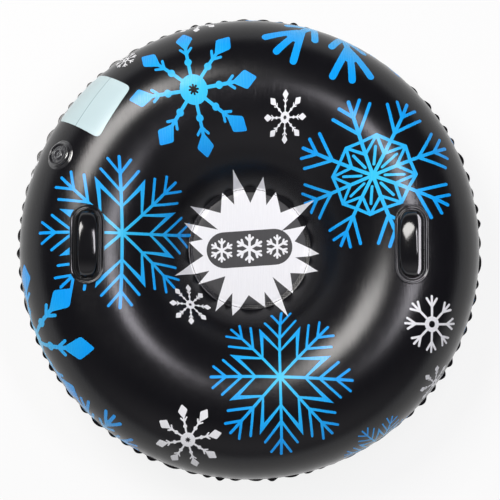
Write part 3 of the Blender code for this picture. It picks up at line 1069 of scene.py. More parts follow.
def print_tree(surface):
    """Geometry tree of a print: arms turned round a middle, laid on the sheet and over the wall."""
    graph, given = new_tree(
        "Printed motif",
        [
            ("Geometry", "Geometry", None),
            ("Arms", "Int", STAR_ARMS),
            ("Radius", "Float", 1.0),
            ("Turn", "Float", 0.0),
            ("Centre", "Vector", (0, 0, 0)),
            ("Stretch", "Vector", (1, 1, 1)),
            ("Sheet limit", "Float", 0.58),
            ("Ink bottom", "Float", 0.0),
            ("Ink top", "Float", 0.0002),
        ]
        + SURFACE_INPUTS,
    )
    points = graph.node("GeometryNodePoints", None, {"Count": given["Arms"]})[0]
    turn = graph.join(0.0, 0.0, graph.read("Index") / given["Arms"] * FULL_TURN)
    rotation = graph.node("FunctionNodeEulerToRotation", None, {0: turn})[0]
    values = {"Instance": given["Geometry"], "Rotation": rotation}
    motif = graph.shape("RealizeInstances", graph.shape("InstanceOnPoints", points, values))
    motif = graph.shape("MergeByDistance", motif, {"Distance": 0.05 * MM})
    place = graph.read("Position")
    far = graph.node("ShaderNodeVectorMath", {"operation": "LENGTH"}, {0: place})["Value"]
    motif = graph.store(motif, "reach", far)

    values = {"Vector": place, "Rotation": graph.join(0.0, 0.0, given["Turn"])}
    turned = graph.node("ShaderNodeVectorRotate", {"rotation_type": "EULER_XYZ"}, values)[0]
    sized = graph.vector("MULTIPLY", graph.vector("MULTIPLY", turned, given["Radius"]), given["Stretch"])
    laid = graph.vector("ADD", sized, given["Centre"])
    motif = graph.shape("SetPosition", motif, {"Position": laid})
    u, v, _ = graph.split(place)
    length = (u * u + v * v).call("SQRT")
    outside = length.call("GREATER_THAN", given["Sheet limit"])
    motif = graph.shape("DeleteGeometry", motif, {"Selection": outside}, {"domain": "FACE"})
    length = length.call("MINIMUM", given["Sheet limit"])
    angle = v.call("ARCTAN2", u)
    motif = graph.store(motif, "flat", graph.polar(length, angle), "FLOAT_VECTOR")
    motif = graph.store(motif, "length", length)
    motif = graph.store(motif, "angle", angle)

    curve = profile_curve(graph, given)
    length, angle = graph.stored("length"), graph.stored("angle")
    bottom, top = [
        surface_point(graph, surface, given, curve, length, angle, given[name])
        for name in ("Ink bottom", "Ink top")
    ]
    values = {"Mesh": motif, "Offset Scale": 0.1 * MM, "Individual": False}
    raised = graph.node("GeometryNodeExtrudeMesh", {"mode": "FACES"}, values)
    rest = graph.node("FunctionNodeBooleanMath", {"operation": "NOT"}, {0: raised["Top"]})[0]
    body = raised["Mesh"]
    for selection, position in ((raised["Top"], top), (rest, bottom)):
        body = graph.shape("SetPosition", body, {"Selection": selection, "Position": position})
    under = graph.shape("SetPosition", graph.shape("FlipFaces", motif), {"Position": bottom})
    join = graph.node("GeometryNodeJoinGeometry")
    for part in (body, under):
        graph.put(join.node.inputs[0], part)
    whole = graph.shape("MergeByDistance", join[0], {"Distance": 0.01 * MM})
    return end_shape(graph, whole, given["Material"])


class PrintRun:
    """Thin ink on the upper skin, laid motif by motif and then joined into one piece."""

    def __init__(self, material, height):
        self.profile = upper_profile()
        self.line = self.profile.curve()
        self.tree = print_tree(surface_tree())
        self.material = material
        self.made = []
        self.values = {
            **surface_values(self.profile, self.line, 1, material),
            "Sheet limit": self.profile.seam - PRINT_MARGIN,
            "Ink bottom": INK_BOTTOM,
            "Ink top": height,
        }

    def lay(self, mesh, values):
        """Makes a motif of one arm's mesh and carries it over the wall."""
        self.made.append(grow("motif", mesh, self.tree, {**self.values, **values}))

    def finish(self, name, *nodes, slot="upper_vinyl"):
        """Joins the motifs into one piece under a name."""
        piece = self.made[0]
        work = bmesh.new()
        for obj in self.made:
            work.from_mesh(obj.data)
        work.to_mesh(piece.data)
        work.free()
        drop(self.line, *self.made[1:])
        piece.name = name
        finish_piece(smooth(piece, 40), self.material, "tube", *nodes, slot=slot)


def print_motifs(name, motifs, material, height):
    """Lays a set of motifs on the upper skin as one piece."""
    run = PrintRun(material, height)
    for style, centre, radius, turn, tall in motifs:
        at_rim = math.hypot(*centre) + radius > RIM_PRINT_START
        spacing = RIM_PRINT_SPACING if at_rim else PRINT_SPACING
        values = {"Radius": radius, "Turn": deg(turn), "Centre": (*centre, 0), "Stretch": (1, tall, 1)}
        run.lay(arm_mesh(style, spacing / radius), values)
    run.finish(name)


class SNOWTUBE_OT_blue_print(bpy.types.Operator):
    """Prints the blue snow crystals"""

    bl_idname = "snow_tube.blue_print"
    bl_label = "Blue print"

    def execute(self, context):
        ink = ink_material("blue_ink", colors().cyan, colors().azure)
        print_motifs("blue_print", BLUE_MOTIFS, ink, BLUE_INK)
        return {"FINISHED"}


class SNOWTUBE_OT_white_print(bpy.types.Operator):
    """Prints the small white snow crystals"""

    bl_idname = "snow_tube.white_print"
    bl_label = "White print"

    def execute(self, context):
        ink = ink_material("white_ink", colors().white, colors().white)
        print_motifs("white_print", WHITE_MOTIFS, ink, WHITE_INK)
        return {"FINISHED"}


BURST_SPIKES = 18
BURST_TIP_SHARES = (1.0, 0.70, 0.88, 0.84, 0.68)
BURST_ROOT_SHARES = (0.52, 0.51, 0.41, 0.53)
BURST_LEANS = (3, -3, 6, 0, -5, 2, -4)
BURST_RADIUS = 0.184
BURST_START = 99
GUIDE_POINTS = 144
MARK_ARMS = 6
MARK_TILT = 4
MARK_HALF = (0.088, 0.037)
MARK_END_POINTS = 25
# Each mark: its place along the band, and its radius.
MARK_PLACES = ((-0.057, 0.025), (0.0, 0.030), (0.057, 0.025))


def burst_outline():
    """The star's outline, whose tips, roots and leans follow short cycles."""
    points = []
    step = FULL_TURN / BURST_SPIKES
    for spike in range(BURST_SPIKES):
        tip, root, lean = [
            cycle[spike % len(cycle)] for cycle in (BURST_TIP_SHARES, BURST_ROOT_SHARES, BURST_LEANS)
        ]
        turn = deg(BURST_START) + step * spike
        points.append(polar(BURST_RADIUS * tip, turn + deg(lean)))
        points.append(polar(BURST_RADIUS * root, turn + step / 2))
    return points


def mark_band():
    """The tilted band with round ends that is left open for the marks."""
    length, height = MARK_HALF
    band = []
    for side, start in ((-1, QUARTER_TURN), (1, -QUARTER_TURN)):
        centre = (side * (length - height), 0)
        band += arc(centre, height, start, start + math.pi, MARK_END_POINTS)
    return turn_by(band, deg(MARK_TILT))


class SNOWTUBE_OT_burst(bpy.types.Operator):
    """Prints the white burst in the middle, with three snow crystals on the band left open in it"""

    bl_idname = "snow_tube.burst"
    bl_label = "Burst print"

    def execute(self, context):
        run = PrintRun(ink_material("burst_ink", colors().white, colors().white), BURST_INK)
        floor = run.profile.floor_lengths
        bend = np.linspace(floor[-1], run.profile.hub + HUB_FILLET, 6)[1:]
        guides = [disc(POLE, radius, GUIDE_POINTS) for radius in (*floor, *bend)]
        border = square(2 * BURST_RADIUS)
        flat = inked([burst_outline()], [mark_band()], border, PRINT_SPACING, guides)
        run.lay(flat_mesh("burst", *flat), {"Arms": 1})
        for place, radius in MARK_PLACES:
            (centre,) = turn_by([(place, 0)], deg(MARK_TILT))
            values = {"Arms": MARK_ARMS, "Radius": radius, "Turn": QUARTER_TURN, "Centre": (*centre, 0)}
            run.lay(arm_mesh(bold_flake, PRINT_SPACING / radius, MARK_ARMS), values)
        run.finish("burst_print")
        return {"FINISHED"}


# Turned and swept shapes


def ring_faces(first, second, count):
    """Faces between two rings with the same number of points."""
    sides = [(i, (i + 1) % count) for i in range(count)]
    return [(first + i, first + j, second + j, second + i) for i, j in sides]


def stack_faces(rings, count, ends="capped"):
    """Faces along a stack of rings, whose ends are capped, joined to each other or left open."""
    faces = []
    for ring in range(rings if ends == "joined" else rings - 1):
        faces += ring_faces(ring * count, (ring + 1) % rings * count, count)
    if ends == "capped":
        faces += [tuple(range(count)), tuple(range((rings - 1) * count, rings * count))]
    return faces


def turned(path, count, ends="joined"):
    """Points and faces of a path turned about the axis; all its radii are over zero."""
    turns = np.linspace(0, FULL_TURN, count, endpoint=False)
    points = [(r * math.cos(t), r * math.sin(t), h) for r, h in path for t in turns]
    return points, stack_faces(len(path), count, ends)


def solid(name, points, faces, matrix=None, angle=50):
    """A closed smooth-shaded object with its faces outwards."""
    mesh = mesh_from(name, points, faces)
    if matrix:
        mesh.transform(matrix)
    face_outwards(mesh, 0.005 * MM)
    return smooth(add_object(name, mesh), angle)


def combine(obj, other, operation):
    """Bakes a Boolean of two closed objects into the first and removes the second."""
    modifier = obj.modifiers.new("cut", "BOOLEAN")
    modifier.operation = operation
    modifier.solver = "MANIFOLD"
    modifier.object = other
    before = len(obj.data.polygons)
    bake(obj)
    if len(obj.data.polygons) < before / 2:
        raise RuntimeError(obj.name + " lost its shape in a Boolean with " + other.name)
    drop(other)


# Handles

HANDLE_LENGTH = 0.160
HANDLE_WIDTH = 0.068
HANDLE_SIDE_STEPS = 14
HANDLE_END_STEPS = 26
HANDLE_TINT = (0.006, 0.006, 0.007)
GRIP_WIDTH = 0.038
GRIP_CROWN = 0.0062
GRIP_UNDERSIDE = 0.0036
GRIP_SPAN = 0.127
GRIP_RISE = 0.029
GRIP_SINK = 0.005
GRIP_STEPS = 56
GRIP_AROUND = 28
GRIP_TAPER = 0.40
GRIP_TAPER_POWER = 4
GRIP_LEANS = {"right": 14, "left": 5}
# The grip grows where it meets its base: from what height, over what reach, and by what shares.
FLARE_START = 0.0018
FLARE_REACH = 0.0045
FLARE_WIDE = 0.55
FLARE_DEEP = 0.45
ARCH_POWER = 2.4
SECTION_POWER = 2.4

# Across a base from its edge inwards: inset and height, in millimetres.
BASE_PATH = (
    (24, 0.05), (12, 0.05), (0.4, 0.05), (0, 0.6), (0, 1.8), (0.3, 2.8), (1.0, 3.6), (2.0, 3.9),
    (3.1, 3.7), (4.1, 3.1), (5.0, 2.6), (6.4, 2.45), (7.6, 2.7), (8.5, 3.6), (9.4, 4.6),
    (10.6, 5.0), (11.8, 4.6), (12.7, 3.5), (13.4, 2.5), (14.2, 2.05), (18, 2.0), (24, 2.0),
)


def stadium(inset):
    """Outline of a handle's base, inset by a distance; its long side runs along y."""
    radius = HANDLE_WIDTH / 2 - inset
    half = (HANDLE_LENGTH - HANDLE_WIDTH) / 2
    rows = np.linspace(-half, half, HANDLE_SIDE_STEPS)
    points = [(radius, y) for y in rows]
    points += arc((0, half), radius, 0, math.pi, HANDLE_END_STEPS)[1:-1]
    points += [(-radius, y) for y in rows[::-1]]
    points += arc((0, -half), radius, math.pi, FULL_TURN, HANDLE_END_STEPS)[1:-1]
    return points


def ladder(first, count):
    """Fills a stadium ring with quads between its two long sides and fans at its ends."""
    start = -(HANDLE_END_STEPS - 2) // 2
    faces = []
    for step in range(count // 2):
        right = start + step
        left = start - 1 - step
        loop = dict.fromkeys(first + i % count for i in (right, right + 1, left - 1, left))
        if len(loop) > 2:
            faces.append(tuple(loop))
    return faces


def on_wall(profile, centre, x, y, lift):
    """A point above the wall at plan coordinates from a handle's centre."""
    plan = (centre + x, y)
    foot = Vector((*plan, profile.height(math.hypot(*plan))))
    return foot + profile.normal(foot) * lift


def power_round(turn, power):
    """Cosine and sine of a turn on a squarish circle."""
    return [math.copysign(abs(part) ** (2 / power), part) for part in (math.cos(turn), math.sin(turn))]


def grip_shape():
    """The arched bar in its own frame: a rounded flat section swept over a squarish arch."""
    places = []
    for step in range(GRIP_STEPS + 1):
        along, up = power_round(math.pi * step / GRIP_STEPS, ARCH_POWER)
        up = up if 0 < step < GRIP_STEPS else 0
        places.append(Vector((0, along * GRIP_SPAN / 2, up * GRIP_RISE)))
    across = Vector((1, 0, 0))
    points = []
    for index, place in enumerate(places):
        at_end = index in (0, GRIP_STEPS)
        along = places[min(index + 1, GRIP_STEPS)] - places[max(index - 1, 0)]
        if at_end:
            along = Vector((0, 0, 1 if index == 0 else -1))
        thick = across.cross(along.normalized())
        low = max(0.0, 1 - max(0.0, place.z - FLARE_START) / FLARE_REACH)
        flare = FLARE_REACH * (1 - math.sqrt(max(0.0, 1 - low * low)))
        taper = 1 - GRIP_TAPER * abs(place.y / (GRIP_SPAN / 2)) ** GRIP_TAPER_POWER
        width = GRIP_WIDTH / 2 * taper + flare * FLARE_WIDE
        sink = Vector((0, 0, GRIP_SINK if at_end else 0))
        for point in range(GRIP_AROUND):
            one, two = power_round(FULL_TURN * point / GRIP_AROUND, SECTION_POWER)
            depth = (GRIP_CROWN if two > 0 else GRIP_UNDERSIDE) + flare * FLARE_DEEP
            points.append(place + across * one * width + thick * two * depth - sink)
    return points, stack_faces(GRIP_STEPS + 1, GRIP_AROUND)


def build_handle(side, turn, profile, material):
    """One moulded handle: a beaded base on the wall and an arched grip."""
    centre = (GRIP_BOX[0][0] + GRIP_BOX[1][0]) / 2
    matrix = Matrix.Rotation(turn, 4, "Z")
    points = []
    for inset, height in BASE_PATH:
        ring = stadium(inset * MM)
        points += [on_wall(profile, centre, x, y, height * MM) for x, y in ring]
    count = len(ring)
    faces = stack_faces(len(BASE_PATH), count, "open")
    faces += ladder(0, count) + ladder((len(BASE_PATH) - 1) * count, count)
    base = solid(side + "_base", points, faces, matrix, 60)
    finish_piece(base, material, "tube", side + "_handle_base", slot="handle_vinyl")

    foot = on_wall(profile, centre, 0, 0, 0)
    up = profile.normal(foot)
    local = placed_axes(Vector((up.z, 0, -up.x)), Vector((0, 1, 0)), up, foot)
    lean = Matrix.Rotation(-deg(GRIP_LEANS[side]), 4, "Y")
    grip = solid(side + "_grip", *grip_shape(), matrix @ local @ lean, 60)
    finish_piece(grip, material, "tube", side + "_handle_grip", slot="handle_vinyl")


class SNOWTUBE_OT_handles(bpy.types.Operator):
    """Builds both handles with their beaded bases and arched grips"""

    bl_idname = "snow_tube.handles"
    bl_label = "Handles"

    def execute(self, context):
        for side, turn in (("right", 0), ("left", math.pi)):
            material = moulded_material(side + "_handle_vinyl", HANDLE_TINT, 0.10)
            build_handle(side, turn, upper_profile(), material)
        return {"FINISHED"}


# Valve. Its shapes are in millimetres, in its own frame.

VALVE_TURNS = 96
PORT_RADIUS = 21.45
PORT_DEPTH = 20
STRAP_AXIS = 17.2
STRAP_HALF = 3.5
BARREL_HEIGHT = 4.6
BARREL_RADII = (0.01, 1.0)
BARREL_TURNS = 24
RIB_COUNT = 16
FLAP_RADIUS = 9.5
FLAP_OPEN = 0.33
FLAP_TONGUE = (10.5, 3.0)
FLAP_HEIGHTS = (-23.3, -22.3)

# The disc follows the curved wall outside FOLLOW_START. Outside FOOT_RADIUS, the collar does so at
# the first of the two heights, less and less above it, and at the second no longer.
FOLLOW_START = 21.25
FOLLOW_STEP = 0.1
FOOT_HEIGHTS = (1.3, 4.0)
FOOT_RADIUS = 24.9

# Each corner of a turned section: radius, height and rounding.
FLANGE_SECTION = (
    (17.5, -6.5, 0.3), (21.2, -6.5, 0.3), (21.2, 0.05, 0), (31, 0.05, 0.2), (31, 0.5, 0.4),
    (28.9, 1.29, 0.5), (28.2, 0.8, 0.3), (27.2, 0.8, 0.3), (26.8, 1.25, 0.3), (25.8, 1.25, 1.2),
    (25.3, 4.8, 0.8), (23.0, 6.0, 0.8), (21.5, 5.5, 0.6), (21.0, 4.2, 0.6), (21.0, 1.0, 0.5),
    (17.5, 1.0, 0.5),
)
NECK_SECTION = (
    (16.4, -1.0, 0.3), (17.2, -1.0, 0.3), (17.2, -6.0, 2.2), (11.8, -15, 2.2),
    (11.8, -18, 0.3), (11.0, -18, 0.3), (11.0, -15, 2.2), (16.4, -6.0, 2.2),
)
STEM_SECTION = (
    (7.5, -22, 0.6), (10.7, -22, 0.6), (10.7, 1.3, 1.0), (19.5, 1.3, 0.5), (19.5, 2.4, 0.5),
    (18.6, 3.3, 0.7), (7.5, 3.3, 0.5),
)
PLUG_SECTION = (
    (0.4, 5.9, 0), (2.2, 5.7, 0.8), (3.2, 5.1, 0.5), (5.0, 5.1, 0.8), (9.0, 6.5, 1.0),
    (11.6, 5.1, 0.6), (12.0, 3.6, 0.4), (7.15, 3.6, 0.4), (5.4, -1.2, 0.9), (0.4, -1.2, 0),
)

# The outlines of a finger rib from its foot up: start, end, half width and height.
RIB_OUTLINES = ((13.4, 18.2, 0.7, 3.0), (13.4, 18.2, 0.7, 3.55), (13.6, 18.0, 0.4, 3.72))


def scaled(points):
    """Points in millimetres as points in metres."""
    return [tuple(part * MM for part in point) for point in points]


def section(rows):
    """A turned section's path in metres."""
    return rounded(scaled([row[:2] for row in rows]), [row[2] * MM for row in rows])


def joint(name):
    """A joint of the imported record."""
    return next(j for j in frame["record"]["behaviour"]["joints"] if j["name"] == name)


def valve_frame():
    """The valve's own frame: Z along its axis, X down the wall, its origin on the skin."""
    axis = Vector(joint("stem_pull")["axis"]).normalized()
    side = -Vector(joint("plug_hinge")["axis"]).normalized()
    down = -side.cross(axis).normalized()
    if down.z > 0:
        down = -down
    hinge = Vector(joint("plug_hinge")["pos_m"])
    origin = hinge - down * (STRAP_AXIS * MM) - axis * (BARREL_HEIGHT * MM)
    return placed_axes(down, axis.cross(down), axis, origin)


def open_port(skin):
    """Cuts the valve's hole through the upper skin."""
    path = scaled([(PORT_RADIUS, -PORT_DEPTH), (PORT_RADIUS, PORT_DEPTH)])
    cutter = solid("port_cutter", *turned(path, VALVE_TURNS, "capped"), valve_frame())
    combine(skin, cutter, "DIFFERENCE")


def wall_share(across, height):
    """How far a point of the valve's disc follows the wall, from 0 to 1."""
    low, high = FOOT_HEIGHTS
    if height < low:
        return min(1.0, max(0.0, (across - FOLLOW_START) / FOLLOW_STEP))
    if height < high and across > FOOT_RADIUS:
        return 1 - (height - low) / (high - low)
    return 0.0


def build_flange(matrix, profile, material):
    """The welded disc and collar; its disc follows the curved wall."""
    points, faces = turned(section(FLANGE_SECTION), VALVE_TURNS)
    axis = matrix.col[2].to_3d()
    placed = []
    for x, y, z in points:
        foot = matrix @ Vector((x, y, 0))
        share = wall_share(math.hypot(x, y) / MM, z / MM)
        if share > 0:
            foot = foot + (profile.settle(foot, axis) - foot) * share
        placed.append(foot + axis * z)
    flange = solid("valve_ring", placed, faces)
    finish_piece(flange, material, "tube", "valve_flange", slot="valve_vinyl")


def build_neck(matrix, material):
    """The thin rolling neck from the port to the stem."""
    neck = solid("rolling_neck", *turned(section(NECK_SECTION), VALVE_TURNS), matrix, 60)
    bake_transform(neck)
    finish_piece(neck, material, None, "valve_neck", slot="valve_vinyl")


def build_stem(matrix, material):
    """The stem tube with its broad lip and a ring of low finger ribs."""
    stem = solid("stem_tube", *turned(section(STEM_SECTION), VALVE_TURNS))
    for index in range(RIB_COUNT):
        points = []
        for start, end, half, height in RIB_OUTLINES:
            outline = turn_by(stroke((start, 0), (end, 0), half), FULL_TURN * (index + 0.5) / RIB_COUNT)
            points += scaled([(x, y, height) for x, y in outline])
        rib = solid("rib", points, stack_faces(len(RIB_OUTLINES), len(outline)))
        combine(stem, rib, "UNION")
    stem.data.transform(matrix)
    finish_piece(smooth(stem, 35), material, "stem", "valve_stem", slot="valve_vinyl")


def slab(name, outline, bottom, top, edge):
    """A flat plate over an outline with a small chamfer round both faces."""
    ring = np.array(outline)
    middle = ring.mean(axis=0)
    inner = middle + (ring - middle) * (1 - edge / np.abs(ring - middle).max(axis=0))
    points = []
    for ring, height in ((inner, bottom), (outline, bottom + edge), (outline, top - edge), (inner, top)):
        points += scaled([(x, y, height) for x, y in ring])
    return solid(name, points, stack_faces(4, len(outline)), None, 40)


def tongue(start, end, half):
    """An outline with a round outer end."""
    return arc((start + half, 0), half, QUARTER_TURN, 3 * QUARTER_TURN, 15) + [(end, -half), (end, half)]


def build_plug(matrix, material):
    """The plug with its domed cap, pull tab, strap and hinge barrel."""
    half = STRAP_HALF
    strap = [(7.0, -half), (STRAP_AXIS, -half), (STRAP_AXIS, half), (7.0, half)]
    core, radius = BARREL_RADII
    path = scaled([(core, -half), (radius, -half), (radius, half), (core, half)])
    upright = Matrix.Translation(scaled([(STRAP_AXIS, 0, BARREL_HEIGHT)])[0])
    lying = upright @ Matrix.Rotation(QUARTER_TURN, 4, "X")
    plug = solid("plug_cap", *turned(section(PLUG_SECTION), VALVE_TURNS, "capped"))
    for part in (
        slab("tab", tongue(-19.0, -8.0, 5.0), 3.9, 5.4, 0.4),
        slab("bead", tongue(-18.0, -14.5, 3.9), 5.0, 5.75, 0.3),
        slab("strap", strap, 3.95, 5.25, 0.25),
        solid("barrel", *turned(path, BARREL_TURNS, "capped"), lying),
    ):
        combine(plug, part, "UNION")
    plug.data.transform(matrix)
    finish_piece(smooth(plug, 35), material, "plug", "valve_plug", slot="valve_vinyl")


def build_flap(matrix, material):
    """The check flap on the stem's inner end."""
    length, half = FLAP_TONGUE
    outline = arc(POLE, FLAP_RADIUS, FLAP_OPEN, FULL_TURN - FLAP_OPEN, 41)
    flap = slab("flap_disc", outline + [(length, -half), (length, half)], *FLAP_HEIGHTS, 0.2)
    flap.data.transform(matrix)
    finish_piece(flap, material, "flap", "check_flap", slot="valve_vinyl")


class SNOWTUBE_OT_valve(bpy.types.Operator):
    """Builds the stem valve: disc and collar, rolling neck, stem, plug and check flap"""

    bl_idname = "snow_tube.valve"
    bl_label = "Valve"

    def execute(self, context):
        matrix = valve_frame()
        smoky = moulded_material("flange_vinyl", (0.030, 0.030, 0.033), 0.07, 0.25, 1.0, 1.0)
        build_flange(matrix, upper_profile(), smoky)
        build_neck(matrix, moulded_material("neck_vinyl", (0.04, 0.04, 0.044), 0.15, 0.3))
        build_stem(matrix, moulded_material("stem_vinyl", (0.035, 0.035, 0.039), 0.08, 0.25, 1.0))
        smoky = moulded_material("plug_vinyl", (0.045, 0.045, 0.050), 0.06, 0.25, 1.0, 0.8)
        build_plug(matrix, smoky)
        build_flap(matrix, moulded_material("flap_vinyl", (0.05, 0.05, 0.055), 0.15, 0.3))
        return {"FINISHED"}


# Blank panel

PANEL_TILT = 45
PANEL_AZIMUTH = 137.4
PANEL_TURN = 11
PANEL_LENGTH = 0.128
PANEL_WIDTH = 0.123
PANEL_CORNER = 0.012
PANEL_SPACING = 0.004
PANEL_THICKNESS = 0.0005
PANEL_LINE_PLACE = -0.004
PANEL_RULE_STEP = 0.0042
PANEL_RULED_HALF = (0.051, 0.049)
PANEL_LINE_TINT = (0.05, 0.16, 0.20)


def panel_frame(profile):
    """The panel's own frame on the wall, where the wall has the panel's tilt."""
    azimuth = deg(PANEL_AZIMUTH)
    tilt = deg(PANEL_TILT)
    outward = Vector((math.cos(azimuth), math.sin(azimuth), 0))
    normal = outward * math.sin(tilt) + Vector((0, 0, math.cos(tilt)))
    down = outward * math.cos(tilt) - Vector((0, 0, math.sin(tilt)))
    slopes, radii, _ = wall_line(sizes().seam_radius, sizes().hub_radius)
    radius = float(np.interp(tilt, slopes, radii)) + sizes().upper_sheet * math.sin(tilt)
    place = outward * radius
    place.z = profile.height(radius)
    matrix = placed_axes(down, normal.cross(down), normal, place)
    return matrix @ Matrix.Rotation(deg(PANEL_TURN), 4, "Z")


def panel_material():
    """Pale glossy film with faint rules and one dividing line, otherwise blank."""
    paint = Paint("panel_film", {"Specular IOR Level": 0.5})
    place = paint.attribute("panel")
    x, y, _ = paint.split(place)
    cloud = paint.noise(place, 30.0)
    ruled_x, ruled_y = PANEL_RULED_HALF
    from_line = (x - PANEL_LINE_PLACE).call("ABSOLUTE")
    line = 1 - from_line.between(0.4 * MM, 1.0 * MM)
    inside = 1 - y.call("ABSOLUTE").between(ruled_y, ruled_y + 0.5 * MM)
    inside = inside * (1 - x.call("ABSOLUTE").between(ruled_x, ruled_x + 0.5 * MM))
    rules = (x * (FULL_TURN / PANEL_RULE_STEP)).call("SINE").between(0.55, 0.95) * inside
    line = line.call("MAXIMUM", rules * from_line.between(4 * MM, 4.5 * MM) * 0.16)
    fade = (x / PANEL_LENGTH + 0.5) * 0.6 + cloud * 0.3
    film = paint.tones(fade, colors().panel, 1.18, 1.0)
    grain = paint.streaks(place, (420.0, 30.0, 1.0), 2.0, 0.5)
    tint = paint.mix(line * 0.8, film, with_alpha(PANEL_LINE_TINT))
    return paint.finish(tint, 0.28 + cloud * 0.1, grain, 0.08 * MM, 0.5)


class SNOWTUBE_OT_panel(bpy.types.Operator):
    """Lays the blank pale panel on the wall beside the valve"""

    bl_idname = "snow_tube.panel"
    bl_label = "Blank panel"

    def execute(self, context):
        run = PrintRun(panel_material(), PANEL_THICKNESS)
        matrix = panel_frame(run.profile)
        normal = matrix.col[2].to_3d()
        x, y = PANEL_LENGTH / 2, PANEL_WIDTH / 2
        outline = soft_polygon([(x, y), (-x, y), (-x, -y), (x, -y)], PANEL_CORNER)
        flat, triangles = inked([outline], [], square(1), PANEL_SPACING)
        feet = [run.profile.settle(matrix @ Vector((*point, 0)), normal) for point in flat]
        mesh = flat_mesh("panel", [run.profile.unrolled(foot) for foot in feet], triangles)
        attribute = mesh.attributes.new("panel", "FLOAT_VECTOR", "POINT")
        places = np.array([(*point, 0.0) for point in flat], dtype=np.float32)
        attribute.data.foreach_set("vector", places.ravel())
        run.lay(mesh, {"Arms": 1})
        run.finish("blank_panel", "info_panel", slot="panel_vinyl")
        return {"FINISHED"}


# Stage

IMAGE_SIDE = 500
CAMERA_ELEVATION = 86
CAMERA_DISTANCE = 4.0
CAMERA_LENS = 140.4
CAMERA_SENSOR = 36
LOOK_PIXEL = (249.5, 248.56)

# Each soft box: azimuth, angle from overhead, distance, width, depth, radiance and colour.
SOFT_BOXES = (
    (134, 33, 3.45, 1.55, 1.25, 16.0, (1.0, 0.975, 0.95)),
    (22, 18.5, 1.74, 0.80, 0.30, 16.0, (0.96, 0.93, 1.0)),
)
FLOOR_RADIUS = 7.0
FLOOR_GLOW = 0.86
FLOOR_TINT = (0.80, 0.80, 0.80)
WALL_TINT = (0.93, 0.94, 0.97)
CEILING_TINT = (0.05, 0.05, 0.058)
FRONT_TINT = (1.0, 0.97, 1.0)
FRONT_GLOW = 0.45


class SNOWTUBE_OT_stage(bpy.types.Operator):
    """Sets up the pale floor, the soft lights and the camera"""

    bl_idname = "snow_tube.stage"
    bl_label = "Stage"

    def execute(self, context):
        build_floor()
        build_world()
        for index, box in enumerate(SOFT_BOXES):
            build_soft_box("soft_box_%d" % (index + 1), *box)
        build_camera()
        context.scene.view_settings.view_transform = "Standard"
        return {"FINISHED"}


def shown_ray(graph):
    """1 for rays that show a background: camera, glossy and transmission rays."""
    path = graph.node("ShaderNodeLightPath")
    seen = path["Is Camera Ray"].call("MAXIMUM", path["Is Glossy Ray"])
    return seen.call("MAXIMUM", path["Is Transmission Ray"])


def build_floor():
    """A round pale floor that looks white and keeps the tube's soft shadow."""
    outline = disc(POLE, FLOOR_RADIUS, 96)
    floor = add_object("floor", flat_mesh("floor", outline, [range(len(outline))]))
    paint = Paint("pale_floor", {"Specular IOR Level": 0.2})
    cloud = paint.noise(paint.place(), 2.0)
    paint.finish(paint.tones(cloud, FLOOR_TINT, 1.0, 1.05), 0.75 + cloud * 0.1)
    values = {"Color": with_alpha((1, 1, 1)), "Strength": 1.0}
    glow = paint.node("ShaderNodeEmission", None, values)[0]
    values = {0: shown_ray(paint) * FLOOR_GLOW, 1: Field(paint, paint.shader.outputs[0]), 2: glow}
    mixed = paint.node("ShaderNodeMixShader", None, values)[0]
    paint.put(paint.tree.nodes["Material Output"].inputs["Surface"], mixed)
    floor.data.materials.append(paint.material)


def build_world():
    """A studio whose walls are pale near the floor and dim overhead."""
    world = bpy.data.worlds.new("studio")
    world.use_nodes = True
    bpy.context.scene.world = world
    graph = Graph(world.node_tree)
    _, depth, up = graph.split(graph.node("ShaderNodeTexCoord")["Generated"])
    tone = graph.mix(up.between(0.03, 0.32), with_alpha(WALL_TINT), with_alpha(CEILING_TINT))
    front = (-depth).between(0.25, 0.85) * up.between(0.1, 0.5) * FRONT_GLOW
    background = world.node_tree.nodes["Background"]
    graph.put(background.inputs["Color"], graph.mix(front, tone, with_alpha(FRONT_TINT)))
    graph.put(background.inputs["Strength"], 1.0)


def build_soft_box(name, azimuth, from_overhead, distance, width, depth, radiance, tint):
    """An area lamp of a given radiance, turned to the middle of the tube."""
    data = bpy.data.lights.new(name, "AREA")
    data.shape = "RECTANGLE"
    data.size = width
    data.size_y = depth
    data.energy = radiance * width * depth * math.pi
    data.color = tint
    turn = deg(azimuth)
    tilt = deg(from_overhead)
    away = Vector((*polar(math.sin(tilt), turn), math.cos(tilt)))
    across = Vector((-math.sin(turn), math.cos(turn), 0))
    place = away * distance + Vector((0, 0, SKIN_BOX[1][2] / 2))
    lamp = add_object(name, data)
    lamp.matrix_world = placed_axes(across, away.cross(across), away, place)
    lamp.visible_camera = False


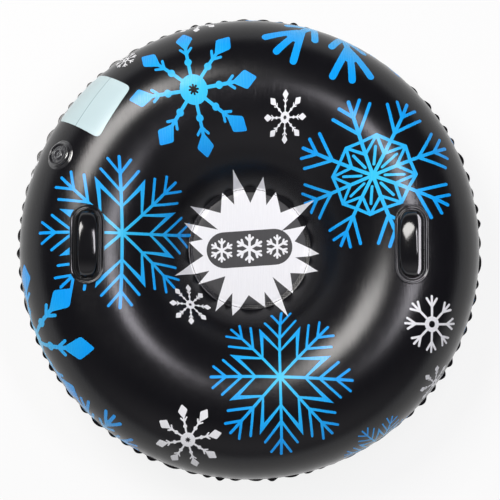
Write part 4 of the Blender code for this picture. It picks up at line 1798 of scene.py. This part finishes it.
def build_camera():
    """The camera above the tube, at the photograph's angle."""
    tilt = deg(CAMERA_ELEVATION)
    away = Vector((0, -math.cos(tilt), math.sin(tilt)))
    data = bpy.data.cameras.new("camera")
    data.lens = CAMERA_LENS
    data.sensor_width = CAMERA_SENSOR
    data.shift_x = (IMAGE_SIDE / 2 - LOOK_PIXEL[0]) / IMAGE_SIDE
    data.shift_y = (LOOK_PIXEL[1] - IMAGE_SIDE / 2) / IMAGE_SIDE
    camera = add_object("camera", data)
    camera.location = Vector((0, 0, upper_profile().weld_height)) + away * CAMERA_DISTANCE
    camera.rotation_euler = away.to_track_quat("Z", "Y").to_euler()
    bpy.context.scene.camera = camera


class SNOWTUBE_PT_parts(bpy.types.Panel):
    """Lists the tube's parts and the values that a user would change"""

    bl_idname = "SNOWTUBE_PT_parts"
    bl_label = "Snow Tube"
    bl_space_type = "VIEW_3D"
    bl_region_type = "UI"
    bl_category = "Snow Tube"

    def draw(self, context):
        layout = self.layout
        for operator in PART_OPERATORS:
            layout.operator(operator.bl_idname)
        settings = context.scene.snow_tube
        for group in (settings.sizes, settings.colors):
            box = layout.box()
            for name in group.__annotations__:
                box.prop(group, name)


PART_OPERATORS = (
    SNOWTUBE_OT_stage,
    SNOWTUBE_OT_skins,
    SNOWTUBE_OT_blue_print,
    SNOWTUBE_OT_white_print,
    SNOWTUBE_OT_burst,
    SNOWTUBE_OT_handles,
    SNOWTUBE_OT_valve,
    SNOWTUBE_OT_panel,
)
CLASSES = (TubeSizes, TubeColors, SnowTubeSettings) + PART_OPERATORS + (SNOWTUBE_PT_parts,)


def register():
    """Registers the settings, the operators and the panel."""
    for item in CLASSES:
        bpy.utils.register_class(item)
    bpy.types.Scene.snow_tube = PointerProperty(type=SnowTubeSettings)


def unregister():
    """Takes them out again."""
    del bpy.types.Scene.snow_tube
    for item in reversed(CLASSES):
        bpy.utils.unregister_class(item)


def main():
    """Builds every part in order."""
    register()
    bpy.ops.snow_tube.stage()
    bpy.ops.snow_tube.skins()
    bpy.ops.snow_tube.handles()
    bpy.ops.snow_tube.valve()
    bpy.ops.snow_tube.panel()
    bpy.ops.snow_tube.burst()
    bpy.ops.snow_tube.white_print()
    bpy.ops.snow_tube.blue_print()


if __name__ == "__main__":
    main()
